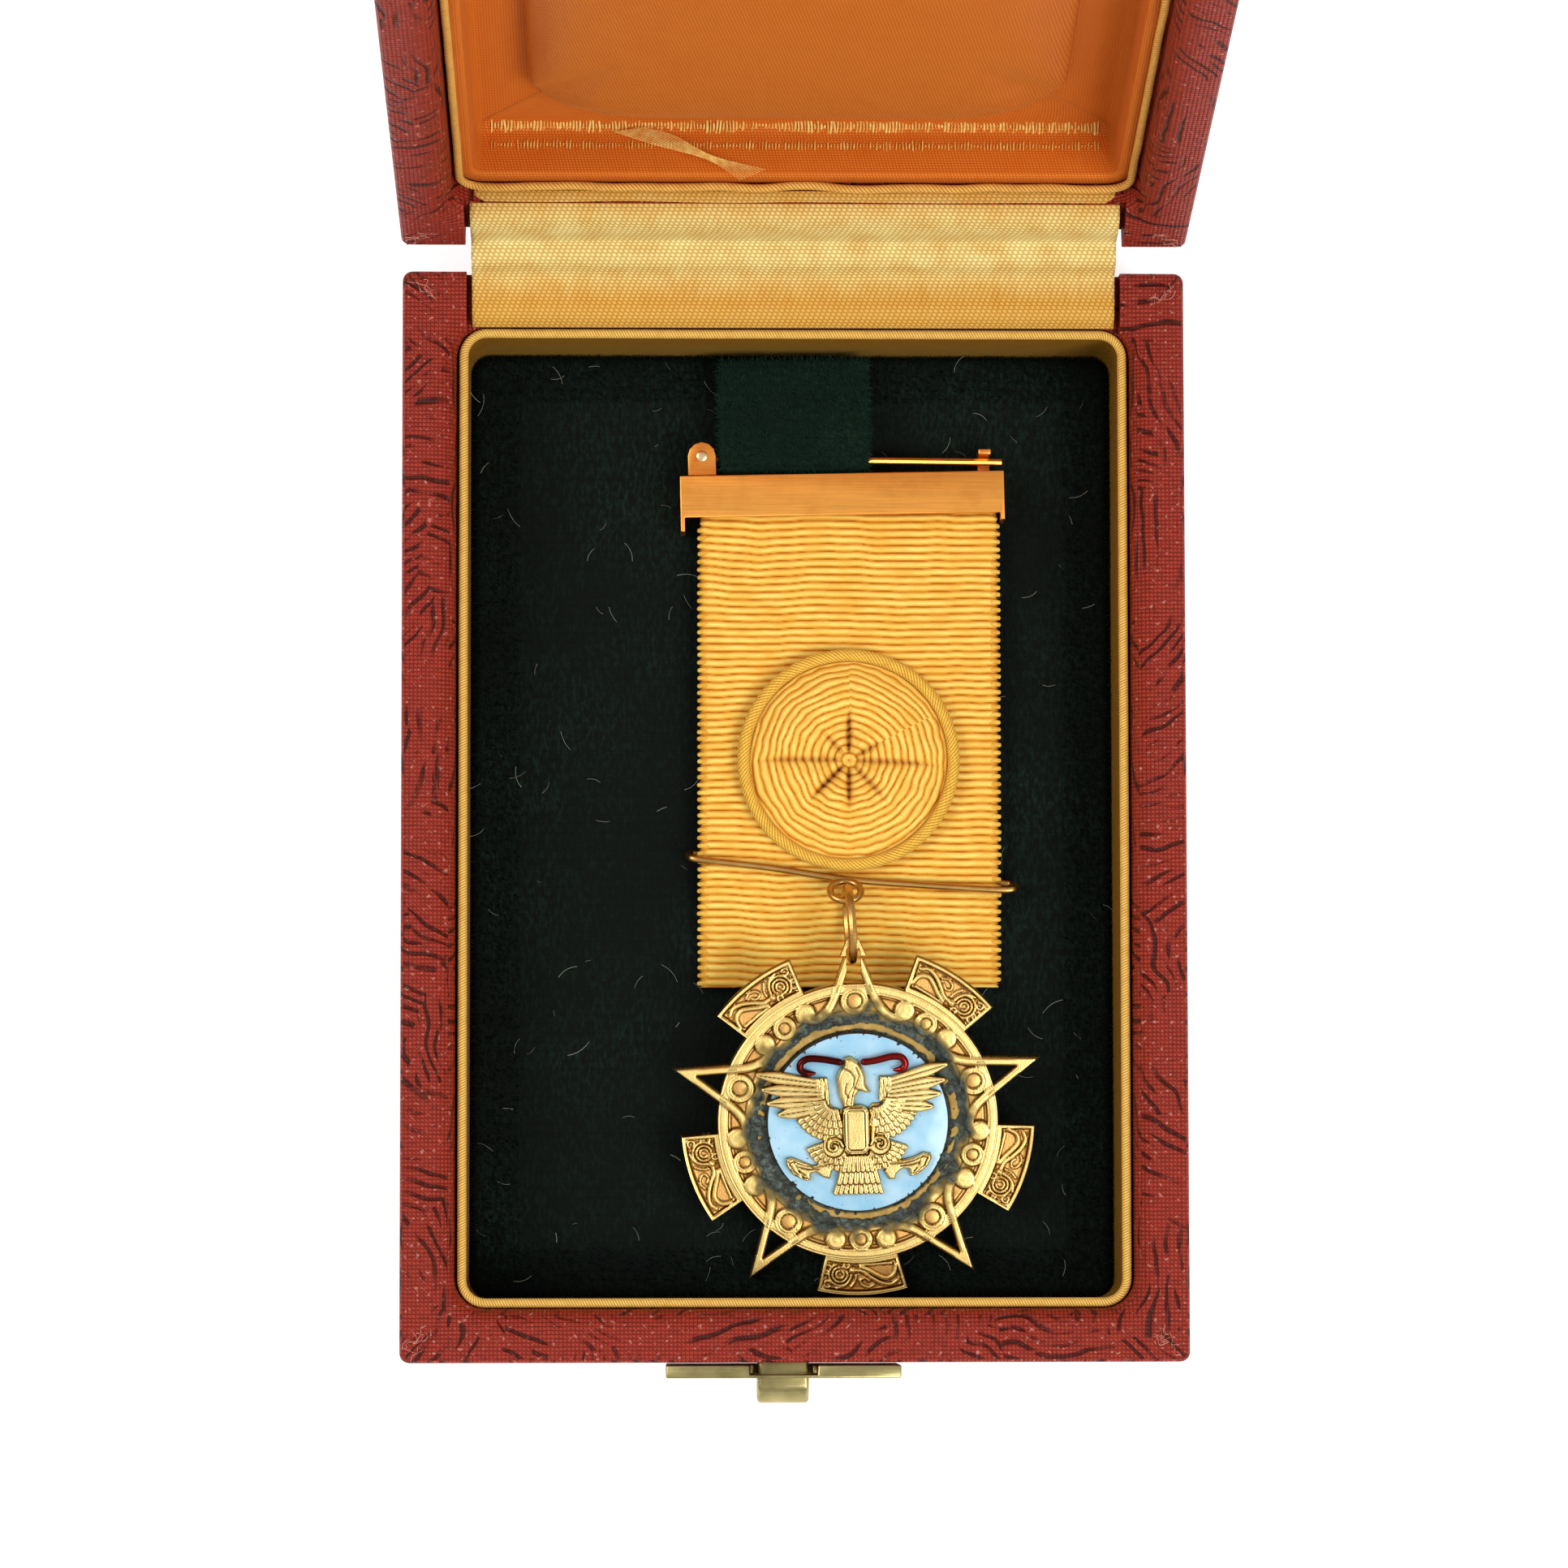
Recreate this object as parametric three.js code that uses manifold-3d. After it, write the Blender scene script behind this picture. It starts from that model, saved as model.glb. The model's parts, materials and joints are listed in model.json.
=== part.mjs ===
// An order badge on its ribbon, pinned in an open presentation case.
// Millimetres, +Z up. The origin is the middle of the case's underside, +X is to the viewer's right
// and +Y points to the hinge. The case stands open: the lid leans back behind the hinge.
import * as THREE from 'three';
import { mergeVertices } from 'three/addons/utils/BufferGeometryUtils.js';
import Module from 'manifold-3d';

const wasm = await Module();
wasm.setup();

const degree = Math.PI / 180;
const gap = 0.3;

// Case
const caseWidth = 97;
const caseDepth = 135;
const baseHeight = 22;
const lidHeight = 16;
const boardThickness = 2.5;
const rimWidth = 6.6;
const rimBevelWidth = 2;
const rimBevelDepth = 2.7;
const caseCorner = 1.2;
const wellCorner = 3.8;
const edgeRound = 0.5;

// Lid and hinge
const hingeBack = 1.92;
const closedGap = 0.3;
const openAngle = 105 * degree;
const barrelRadius = 1.5;
const barrelBore = 0.9;
const pinRadius = 0.6;
const knuckleCount = 9;
const leafThickness = 0.8;
const leafWidth = 4.2;
const stripHalf = 40;
const stripThickness = 1;
const rebateHalf = 40.6;

// Linings
const liningThickness = 1;
const pipingRadius = 0.6;
const bedTop = 7.5;
const bedRound = 1.2;
const flangeWidth = 2.2;
const welt = { radius: 0.55, depth: 4.5 };
const recessFloor = 12.2;
const pillow = { halfX: 33.5, halfY: 52.5, corner: 10, rise: 5 };

// Catch at the middle of the front
const catchX = -1.45;
const catchPlate = { halfX: 14.45, low: 11, high: 21.4, thickness: 1.6 };
const button = { halfX: 3.2, low: 13.6, high: 18.4, out: 5.1, inner: 1.3 };
const buttonClear = 0.4;
const hook = { halfX: 8, tongueHalf: 3.6, high: 9, reach: 2.8, thickness: 0.9 };

// Brooch, turned a little on the bed
const brooch = { x: 6.35, y: 41.2, turn: 1.1 * degree, halfX: 20.45, top: 2.7, low: -2.6, cap: -4.4 };
const broochFloor = bedTop + gap;
const broochHeight = 4.2;
const sheet = 0.55;
const needleRadius = 0.45;
const needleZ = 9.9;
const tab = { left: -15.3, right: 3.5, back: 17.3 };

// Ribbon and rosette
const ribbonX = 7.2;
const ribbonHalf = 18.7;
const ribbonThickness = 1.5;
const ribbonFloor = 9.2;
const ribPitch = 0.97;
const ribHeight = 0.22;
const rosette = { x: 7.06, y: 7.63, face: 12.1, cord: 13.2, cordRadius: 0.75, rise: 2.4 };
const rosetteCreases = 8;

// Hanger wire, its eye, and the ring that joins them to the badge
const wireRadius = 0.45;
const eye = { x: 6.6, y: -8.95, z: 12.75, radius: 1.75, tilt: 42 * degree };
const ring = { wire: 0.55, halfWidth: 3.9 };

// Badge, lying on its lowest tab with its top held up by the ring
const badge = { x: 8.03, y: -37.55, tilt: 12 * degree, turn: 1.86 * degree, disc: 17.5, foot: 20.9 };
const points = 5;
const starTip = 24.1;
const topTip = 23.5;
const tipThickness = 1.1;
const holeAt = 21.3;
const ringAt = 20.7;
const holeHalf = 0.95;
const bandHalf = 0.56;
const tabInner = 17;
const tabOuter = 22.1;
const tabBorder = 0.8;
const enamelRadius = 11.4;
const eagleThickness = 0.8;

const metal = (color, roughness) => new THREE.MeshStandardMaterial({ color, roughness, metalness: 1 });
const cloth = (color, roughness) => new THREE.MeshStandardMaterial({ color, roughness, metalness: 0 });
const leatherette = () => cloth(0x7a1f26, 0.5);
const satin = () => cloth(0xd98a2b, 0.4);
const velvet = () => cloth(0x0c1d17, 0.95);
const brass = () => metal(0xb59a5a, 0.35);
const gold = () => metal(0xe0b45c, 0.3);

// Solids and meshes

function solid(geometry) {
  const bare = geometry.clone();
  bare.deleteAttribute('normal');
  bare.deleteAttribute('uv');
  const welded = mergeVertices(bare, 1e-4);
  return new wasm.Manifold(new wasm.Mesh({
    numProp: 3,
    vertProperties: new Float32Array(welded.attributes.position.array),
    triVerts: new Uint32Array(welded.index.array),
  }));
}

function geometryOf(body) {
  const { numProp, vertProperties, triVerts } = body.getMesh();
  const positions = new Float32Array((vertProperties.length / numProp) * 3);
  for (let i = 0; i < positions.length / 3; i += 1) {
    positions.set(vertProperties.subarray(i * numProp, i * numProp + 3), i * 3);
  }
  const geometry = new THREE.BufferGeometry();
  geometry.setAttribute('position', new THREE.BufferAttribute(positions, 3));
  geometry.setIndex(new THREE.BufferAttribute(new Uint32Array(triVerts), 1));
  geometry.computeVertexNormals();
  return geometry;
}

const joined = (...geometries) => geometryOf(geometries.map(solid).reduce((sum, next) => sum.add(next)));

function cut(geometry, ...tools) {
  return geometryOf(tools.map(solid).reduce((rest, tool) => rest.subtract(tool), solid(geometry)));
}

function piece(name, geometry, material, group) {
  const mesh = new THREE.Mesh(geometry, material);
  mesh.name = name;
  group.add(mesh);
}

function block(x0, x1, y0, y1, z0, z1) {
  const geometry = new THREE.BoxGeometry(x1 - x0, y1 - y0, z1 - z0);
  return geometry.translate((x0 + x1) / 2, (y0 + y1) / 2, (z0 + z1) / 2);
}

// A rounded rectangle's points, the same number whatever its size.
function roundedRectangle({ halfX, halfY, corner }, stepsPerCorner) {
  const outline = [];
  for (let quarter = 0; quarter < 4; quarter += 1) {
    const signX = quarter === 0 || quarter === 3 ? 1 : -1;
    const signY = quarter < 2 ? 1 : -1;
    for (let step = 0; step <= stepsPerCorner; step += 1) {
      const angle = (quarter + step / stepsPerCorner) * 90 * degree;
      outline.push([
        signX * (halfX - corner) + corner * Math.cos(angle),
        signY * (halfY - corner) + corner * Math.sin(angle),
      ]);
    }
  }
  return outline;
}

// Faces between rows of points, with flat ends, or closed round on the first row.
function skin(rows, closed) {
  const count = rows[0].length;
  const positions = rows.flat(2);
  const faces = [];
  const last = closed ? rows.length : rows.length - 1;
  for (let row = 0; row < last; row += 1) {
    const low = row * count;
    const high = ((row + 1) % rows.length) * count;
    for (let i = 0; i < count; i += 1) {
      const next = (i + 1) % count;
      faces.push(low + i, low + next, high + next, low + i, high + next, high + i);
    }
  }
  if (!closed) {
    const top = (rows.length - 1) * count;
    for (let i = 1; i < count - 1; i += 1) {
      faces.push(0, i + 1, i, top, top + i, top + i + 1);
    }
  }
  const geometry = new THREE.BufferGeometry();
  geometry.setAttribute('position', new THREE.BufferAttribute(new Float32Array(positions), 3));
  geometry.setIndex(faces);
  return geometry;
}

// Rounded rectangles stacked from the lowest up: halfX, halfY, corner and z in each row.
function stack(sections, stepsPerCorner = 4, closed = false) {
  const rows = sections.map((row) => roundedRectangle(row, stepsPerCorner).map(([x, y]) => [x, y, row.z]));
  return skin(rows, closed);
}

// A cord laid round a rounded rectangle.
function cordFrame(halfX, halfY, corner, radius, z, sides = 8) {
  const sections = [];
  for (let side = 0; side < sides; side += 1) {
    const angle = (side / sides) * 360 * degree;
    const out = radius * Math.cos(angle);
    sections.push({
      halfX: halfX + out, halfY: halfY + out, corner: corner + out, z: z + radius * Math.sin(angle),
    });
  }
  return stack(sections, 5, true);
}

function shapeOf(outline) {
  return new THREE.Shape(outline.map(([x, y]) => new THREE.Vector2(x, y)));
}

function plate(outline, z0, z1) {
  const geometry = new THREE.ExtrudeGeometry(shapeOf(outline), { depth: z1 - z0, bevelEnabled: false });
  return geometry.translate(0, 0, z0);
}

// A profile in y and z, drawn out along x.
function prism(profile, x0, x1) {
  const geometry = new THREE.ExtrudeGeometry(shapeOf(profile), { depth: x1 - x0, bevelEnabled: false });
  const toSide = new THREE.Matrix4().makeBasis(
    new THREE.Vector3(0, 1, 0), new THREE.Vector3(0, 0, 1), new THREE.Vector3(1, 0, 0),
  );
  return geometry.applyMatrix4(toSide).translate(x0, 0, 0);
}

// A line given thickness on both sides, counter-clockwise.
function thickened(line, thickness) {
  const left = [];
  const right = [];
  line.forEach(([a, b], i) => {
    const before = line[Math.max(i - 1, 0)];
    const after = line[Math.min(i + 1, line.length - 1)];
    const length = Math.hypot(after[0] - before[0], after[1] - before[1]);
    const normal = [-(after[1] - before[1]) / length, (after[0] - before[0]) / length];
    left.push([a + (normal[0] * thickness) / 2, b + (normal[1] * thickness) / 2]);
    right.push([a - (normal[0] * thickness) / 2, b - (normal[1] * thickness) / 2]);
  });
  return [...right, ...left.reverse()];
}

function smoothLine(points, steps) {
  const curve = new THREE.SplineCurve(points.map(([a, b]) => new THREE.Vector2(a, b)));
  return curve.getPoints(steps).map(({ x, y }) => [x, y]);
}

// A round wire bent into a closed loop.
function wireLoop(loop, radius, steps, sides) {
  const curve = new THREE.CatmullRomCurve3(loop.map((p) => new THREE.Vector3(...p)), true);
  const frames = curve.computeFrenetFrames(steps, true);
  const rows = [];
  for (let step = 0; step < steps; step += 1) {
    const centre = curve.getPointAt(step / steps);
    const row = [];
    for (let side = 0; side < sides; side += 1) {
      const angle = (side / sides) * 360 * degree;
      const out = centre.clone()
        .addScaledVector(frames.normals[step], radius * Math.cos(angle))
        .addScaledVector(frames.binormals[step], radius * Math.sin(angle));
      row.push(out.toArray());
    }
    rows.push(row);
  }
  return skin(rows, true);
}

// A round bar along an open path.
function wire(path, radius, steps, sides) {
  const section = new THREE.Shape();
  section.absarc(0, 0, radius, 0, 360 * degree, false);
  const curve = new THREE.CatmullRomCurve3(path.map((p) => new THREE.Vector3(...p)));
  const options = { steps, curveSegments: sides / 2, extrudePath: curve, bevelEnabled: false };
  return new THREE.ExtrudeGeometry(section, options);
}

function cylinderX(x0, x1, y, z, radius, sides) {
  const geometry = new THREE.CylinderGeometry(radius, radius, x1 - x0, sides);
  return geometry.rotateZ(90 * degree).translate((x0 + x1) / 2, y, z);
}

function cylinderZ(x, y, z0, z1, radius, sides) {
  const geometry = new THREE.CylinderGeometry(radius, radius, z1 - z0, sides);
  return geometry.rotateX(90 * degree).translate(x, y, (z0 + z1) / 2);
}

const group = new THREE.Group();

// The case's wooden box and lid, covered in leatherette

const half = { x: caseWidth / 2, y: caseDepth / 2 };
const wellHalf = { x: half.x - rimWidth, y: half.y - rimWidth + 0.2 };

function shellOutside(height) {
  const at = (inset, z) => ({ halfX: half.x - inset, halfY: half.y - inset, corner: caseCorner - inset, z });
  return stack([at(edgeRound, 0), at(0, edgeRound), at(0, height - edgeRound), at(edgeRound, height)], 2);
}

// The hollow from the rim inwards, with the rim's bevelled inner edge. rimZ is the rim, away is the
// direction out of the case, and depth is how far the hollow goes in.
function shellHollow(rimZ, away, depth) {
  const at = (out, z) => ({ halfX: wellHalf.x + out, halfY: wellHalf.y + out, corner: wellCorner + out, z });
  const rows = [
    at(0, rimZ - away * depth),
    at(0, rimZ - away * rimBevelDepth),
    at(rimBevelWidth, rimZ),
    at(rimBevelWidth, rimZ + away),
  ];
  return stack(away > 0 ? rows : rows.reverse(), 4);
}

function hingeRebate(rimZ, away) {
  const floor = rimZ - away * rimBevelDepth;
  const over = rimZ + away;
  const low = Math.min(floor, over);
  const high = Math.max(floor, over);
  return block(-rebateHalf, rebateHalf, wellHalf.y - 1, half.y + 1, low, high);
}

const buttonPocket = block(
  catchX - button.halfX - buttonClear, catchX + button.halfX + buttonClear,
  -half.y - catchPlate.thickness - 1, -half.y + 4.1,
  button.low - buttonClear, button.high + buttonClear,
);

piece('case_base', cut(
  shellOutside(baseHeight),
  shellHollow(baseHeight, 1, baseHeight - boardThickness),
  hingeRebate(baseHeight, 1),
  buttonPocket,
), leatherette(), group);

// The well's satin walls, its gold piping and the velvet bed

const liningOuter = { x: wellHalf.x - gap, y: wellHalf.y - gap };
const pipingZ = baseHeight - rimBevelDepth - gap;
const liningTop = pipingZ - pipingRadius - gap;
const liningFloor = boardThickness + gap;
const liningAt = (inset, z) => ({
  halfX: liningOuter.x - inset, halfY: liningOuter.y - inset, corner: wellCorner - gap - inset, z,
});
piece('well_lining', stack([
  liningAt(0, liningFloor), liningAt(0, liningTop),
  liningAt(liningThickness, liningTop), liningAt(liningThickness, liningFloor),
], 4, true), satin(), group);
piece('well_piping', cordFrame(
  liningOuter.x - pipingRadius, liningOuter.y - pipingRadius, wellCorner - gap - pipingRadius,
  pipingRadius, pipingZ,
), satin(), group);

const bedInset = liningThickness + gap;
piece('velvet_bed', stack([
  liningAt(bedInset, liningFloor), liningAt(bedInset, bedTop - bedRound),
  liningAt(bedInset + bedRound * 0.3, bedTop - bedRound * 0.3), liningAt(bedInset + bedRound, bedTop),
]), velvet(), group);

// The hinge: a leaf under the satin on each rim, with knuckles that take turns along the pin

const axis = { y: half.y + hingeBack, z: baseHeight + closedGap / 2 };
const knuckleStep = (2 * stripHalf) / knuckleCount;

// Leaf and knuckles with the rim at z = 0 and the case on the side that away points from.
function hingeLeaf(away, first) {
  const leafHigh = -away * (stripThickness + 2 * gap);
  const leafLow = leafHigh - away * leafThickness;
  const axisZ = (away * closedGap) / 2;
  const low = Math.min(leafHigh, leafLow);
  const high = Math.max(leafHigh, leafLow);
  const parts = [block(-stripHalf, stripHalf, half.y - leafWidth, half.y + gap, low, high)];
  const bores = [];
  for (let i = first; i < knuckleCount; i += 2) {
    const start = -stripHalf + i * knuckleStep + gap / 2;
    const end = start + knuckleStep - gap;
    const neckLow = Math.min(leafLow, axisZ - away * barrelRadius * 0.6);
    const neckHigh = Math.max(leafLow, axisZ - away * barrelRadius * 0.6);
    parts.push(block(start, end, half.y + gap / 2, axis.y, neckLow, neckHigh));
    parts.push(cylinderX(start, end, axis.y, axisZ, barrelRadius, 12));
    bores.push(cylinderX(start - 0.1, end + 0.1, axis.y, axisZ, barrelBore, 8));
  }
  return cut(joined(...parts), ...bores);
}

// The satin strip's line over a rim: y, and depth below the rim plane.
const stripLine = smoothLine([[half.y - 0.1, 0.7], [64.6, 0.7], [63.2, 0.75], [62.2, 1.25], [61.7, 1.9]], 10);
const stripOver = (away) => {
  const line = stripLine.map(([y, depth]) => [y, -away * depth]);
  const outline = thickened(line, stripThickness);
  return prism(away > 0 ? outline : outline.reverse(), -stripHalf, stripHalf);
};

piece('hinge_base_leaf', hingeLeaf(1, 0).translate(0, 0, baseHeight), brass(), group);
piece('hinge_pin', cylinderX(-stripHalf, stripHalf, axis.y, axis.z, pinRadius, 8), brass(), group);
piece('hinge_satin_base', stripOver(1).translate(0, 0, baseHeight), satin(), group);

// The catch: a plate on the front with the spring button through it

const frontFace = -half.y - gap;
const hookSlot = block(
  catchX - hook.tongueHalf - 0.6, catchX + hook.tongueHalf + 0.6,
  frontFace - catchPlate.thickness + 0.4, frontFace + 1, button.high + buttonClear, catchPlate.high + 1,
);
piece('catch_plate', cut(
  block(catchX - catchPlate.halfX, catchX + catchPlate.halfX, frontFace - catchPlate.thickness, frontFace,
    catchPlate.low, catchPlate.high),
  buttonPocket, hookSlot,
), brass(), group);

const buttonOut = -half.y - button.out;
const buttonProfile = [
  [buttonOut + 1, button.low], [-half.y + button.inner, button.low], [-half.y + button.inner, button.high],
  [buttonOut + 1.8, button.high], [buttonOut, button.high - 1.8], [buttonOut, button.low + 1],
];
piece('catch_button', prism(buttonProfile, catchX - button.halfX, catchX + button.halfX), brass(), group);

// The lid, modelled shut with its rim at z = 0, then opened about the hinge

const lidTurn = new THREE.Group();
lidTurn.position.set(0, axis.y, axis.z);
lidTurn.rotation.x = -openAngle;
const lid = new THREE.Group();
lid.position.set(0, -axis.y, closedGap / 2);
lidTurn.add(lid);
group.add(lidTurn);

piece('lid_shell', cut(
  shellOutside(lidHeight), shellHollow(0, -1, lidHeight - boardThickness), hingeRebate(0, -1),
), leatherette(), lid);

const trayRim = welt.depth + welt.radius + gap;
piece('lid_lining', cut(
  stack([liningAt(0, trayRim), liningAt(0, lidHeight - boardThickness - gap)]),
  stack([liningAt(flangeWidth, trayRim - 1), liningAt(flangeWidth, recessFloor)]),
), satin(), lid);
piece('lid_welt', cordFrame(
  liningOuter.x - welt.radius, liningOuter.y - welt.radius, wellCorner - gap - welt.radius,
  welt.radius, welt.depth,
), satin(), lid);

// The pillow's sections from its crown to the recess floor: share of the rise, and inset from its edge.
const pillowSections = [
  { rise: 1, inset: 16 }, { rise: 0.94, inset: 9 }, { rise: 0.72, inset: 4 }, { rise: 0.4, inset: 1.2 },
  { rise: 0, inset: 0 },
];
piece('lid_pillow', stack(pillowSections.map(({ rise, inset }) => ({
  halfX: pillow.halfX - inset,
  halfY: pillow.halfY - inset,
  corner: Math.max(pillow.corner - inset * 0.3, 4),
  z: recessFloor - gap - pillow.rise * rise,
})), 5), satin(), lid);

piece('hinge_lid_leaf', hingeLeaf(-1, 1), brass(), lid);
piece('hinge_satin_lid', stripOver(-1), satin(), lid);
piece('catch_hook', joined(
  block(catchX - hook.halfX, catchX + hook.halfX, frontFace - hook.thickness, frontFace, 1, hook.high),
  block(catchX - hook.tongueHalf, catchX + hook.tongueHalf, frontFace - hook.thickness, frontFace - gap,
    -hook.reach, 2),
), brass(), lid);

// The brooch: a folded bar with the pin's hinge ear and catch soldered to it, and the needle

const broochGroup = new THREE.Group();
broochGroup.position.set(brooch.x, brooch.y, 0);
broochGroup.rotation.z = brooch.turn;
group.add(broochGroup);

const broochTop = broochFloor + broochHeight;
const earDrop = { top: 0.2, low: 1 };
const rivet = { radius: 1.2, low: 0.8 };
const needleAt = (x) => brooch.top + 2.5 - (x + 17.6) * 0.0305;
const ear = { x: -17.6, y: needleAt(-17.6), radius: 1.8 };
const catchHookX = 18.1;
const catchHalf = 0.8;
const earPlate = joined(
  cylinderZ(ear.x, ear.y, broochTop - earDrop.low, broochTop - earDrop.top, ear.radius, 12),
  block(ear.x - ear.radius, ear.x + ear.radius, brooch.top - 0.4, ear.y,
    broochTop - earDrop.low, broochTop - earDrop.top),
);
piece('brooch_bar', joined(
  block(-brooch.halfX, brooch.halfX, brooch.low, brooch.top, broochTop - sheet, broochTop),
  block(-brooch.halfX, brooch.halfX, brooch.top - sheet, brooch.top, broochFloor, broochTop),
  block(-brooch.halfX, -brooch.halfX + sheet, brooch.cap, brooch.top, broochFloor, broochTop),
  block(brooch.halfX - sheet, brooch.halfX, brooch.cap + 0.9, brooch.top, broochFloor, broochTop),
  earPlate,
  block(catchHookX - catchHalf, catchHookX + catchHalf, brooch.top - 0.4, brooch.top + 2.7,
    broochFloor, broochFloor + 0.7),
  block(catchHookX - catchHalf, catchHookX + catchHalf, brooch.top + 2.2, brooch.top + 2.9,
    broochFloor, broochTop - catchHalf),
), metal(0xc98a4e, 0.35), broochGroup);

const needlePath = [
  [ear.x, ear.y, needleZ], [-6, needleAt(-6), needleZ], [6, needleAt(6), needleZ],
  [catchHookX + 2.2, needleAt(catchHookX + 2.2), needleZ],
];
piece('pin_needle', joined(
  wire(needlePath, needleRadius, 4, 8),
  cylinderZ(ear.x, ear.y, needleZ - rivet.low, broochTop - earDrop.low - gap, rivet.radius, 10),
), metal(0xd9a55f, 0.3), broochGroup);

// The velvet tab: a strip from the bed's back edge, over the needle, round it and back underneath.
// Its line in y (from the brooch's middle) and z.
const tabFront = brooch.top + 0.7;
const tabLine = smoothLine([
  [tab.back, 10.4], [13, 11], [8.5, 11.7], [tabFront + 1.7, 11.5], [tabFront + 0.35, 10.9], [tabFront, 9.9],
  [tabFront + 0.35, 8.95], [tabFront + 1.7, 8.4], [8.5, 8.35], [tab.back, 8.35],
], 30);
piece('velvet_tab', prism(thickened(tabLine, 1).reverse(), tab.left, tab.right), velvet(), broochGroup);

// The ribbon: y and underside z from the brooch to the hem. It rides over the wire's back run.
const ribbonLine = smoothLine([
  [42.4, ribbonFloor + 0.1], [36, ribbonFloor + 0.05], [28, ribbonFloor], [14, ribbonFloor], [0, ribbonFloor],
  [-6.5, ribbonFloor], [-9.5, 8.8], [-12.5, 8.3], [-17, 8], [-20.8, 7.85],
], 63);
const ribbonTop = ribbonLine.flatMap(([y, z], i) => {
  const crest = [y, z + ribbonThickness];
  const valley = [y - ribPitch / 2, z + ribbonThickness - ribHeight];
  return i < ribbonLine.length - 1 ? [crest, valley] : [[y, z + ribbonThickness * 0.75], [y - 0.25, z + 0.5]];
});
const ribbonProfile = [...ribbonLine.slice().reverse(), ...ribbonTop];
piece('ribbon', prism(ribbonProfile, ribbonX - ribbonHalf, ribbonX + ribbonHalf), cloth(0xe6ac34, 0.5), group);

// The rosette: ribbon gathered to its middle, in a ring of twisted cord

const rosetteBase = ribbonFloor + ribbonThickness + gap;
// Share of the radius, share of the rise, and how deep the creases go there.
const rosetteRows = [
  { out: 1, rise: 0.15, crease: 0.1 },
  { out: 0.9, rise: 0.62, crease: 0.12 },
  { out: 0.6, rise: 1, crease: 0.2 },
  { out: 0.3, rise: 0.86, crease: 0.36 },
  { out: 0.1, rise: 0.6, crease: 0.1 },
];
const rosetteSides = rosetteCreases * 6;
const rosetteRow = (out, height) => Array.from({ length: rosetteSides }, (_, side) => {
  const angle = (side / rosetteSides) * 360 * degree;
  return [
    rosette.x + rosette.face * out * Math.cos(angle),
    rosette.y + rosette.face * out * Math.sin(angle),
    rosetteBase + height(side),
  ];
});
const creaseShare = (side) => (side % 6 === 0 ? 1 : 0);
const rosetteRings = rosetteRows.map(({ out, rise, crease }) => (
  rosetteRow(out, (side) => rosette.rise * (rise - crease * creaseShare(side)))
));
piece('rosette_face', skin([rosetteRow(0.98, () => 0), ...rosetteRings], false), cloth(0xe6a936, 0.5), group);

const cordSides = 8;
const cordProfile = Array.from({ length: cordSides }, (_, side) => {
  const angle = ((side + 0.5) / cordSides) * 360 * degree;
  return new THREE.Vector2(
    rosette.cord + rosette.cordRadius * Math.cos(angle), rosette.cordRadius * Math.sin(angle),
  );
});
cordProfile.push(cordProfile[0]);
piece('rosette_cord', new THREE.LatheGeometry(cordProfile, 48)
  .rotateX(90 * degree)
  .translate(rosette.x, rosette.y, rosetteBase + rosette.cordRadius), cloth(0xdda02e, 0.5), group);

// The hanger wire: a long loop round the ribbon, with an eye soldered under its front run.
// The loop's points are x, y and z, the front run first.
const frontZ = ribbonFloor + ribbonThickness + gap + wireRadius;
const backZ = bedTop + gap + wireRadius;
const hangerLoop = [
  [-11.6, -4.9, frontZ], [-3, -5.9, frontZ], [6.5, -7.35, frontZ], [16, -8.1, frontZ], [26.4, -8.7, frontZ],
  [27.9, -8.3, 10.6], [27.9, -7.9, 9.1], [26.4, -7.6, backZ], [16, -6.9, backZ], [6.5, -5.9, backZ],
  [-3, -4.7, backZ], [-11.6, -3.9, backZ], [-12.9, -4.1, 9.1], [-12.9, -4.5, 10.6],
];
const eyeLoop = Array.from({ length: 12 }, (_, i) => {
  const angle = (i / 12) * 360 * degree;
  const along = eye.radius * Math.sin(angle);
  return [
    eye.x + eye.radius * 1.1 * Math.cos(angle),
    eye.y + along * Math.cos(eye.tilt),
    eye.z - along * Math.sin(eye.tilt),
  ];
});
piece('hanger_wire', joined(
  wireLoop(hangerLoop, wireRadius, 72, 6), wireLoop(eyeLoop, wireRadius, 16, 6),
), metal(0xb98a45, 0.35), group);

// The badge

const badgeLift = badge.foot * Math.sin(badge.tilt);
const badgeZ = bedTop + gap + badgeLift;
const badgeGroup = new THREE.Group();
badgeGroup.position.set(badge.x, badge.y, badgeZ);
badgeGroup.rotation.set(badge.tilt, 0, badge.turn);
group.add(badgeGroup);

// The suspension ring: an oval in the upright plane, through the eye and the hole in the top star point
const ringFar = {
  y: badge.y + ringAt * Math.cos(badge.tilt) - (tipThickness / 2) * Math.sin(badge.tilt),
  z: badgeZ + ringAt * Math.sin(badge.tilt) + (tipThickness / 2) * Math.cos(badge.tilt),
};
const ringX = badge.x - ringAt * Math.sin(badge.turn);
const ringAxis = { y: eye.y - ringFar.y, z: eye.z - ringFar.z };
const ringLoop = Array.from({ length: 16 }, (_, i) => {
  const angle = (i / 16) * 360 * degree;
  const share = 0.5 + 0.5 * Math.cos(angle);
  const length = Math.hypot(ringAxis.y, ringAxis.z);
  const side = ring.halfWidth * Math.sin(angle);
  return [
    ringX + (eye.x + 0.1 - ringX) * share,
    ringFar.y + ringAxis.y * share - (ringAxis.z / length) * side,
    ringFar.z + ringAxis.z * share + (ringAxis.y / length) * side,
  ];
});
piece('suspension_ring', wireLoop(ringLoop, ring.wire, 32, 8), metal(0xc79a4c, 0.3), group);

// The badge's frame is one casting. Shapes are drawn round the star point that looks along +Y.

const polar = (radius, angle) => [radius * Math.cos(angle), radius * Math.sin(angle)];

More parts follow.
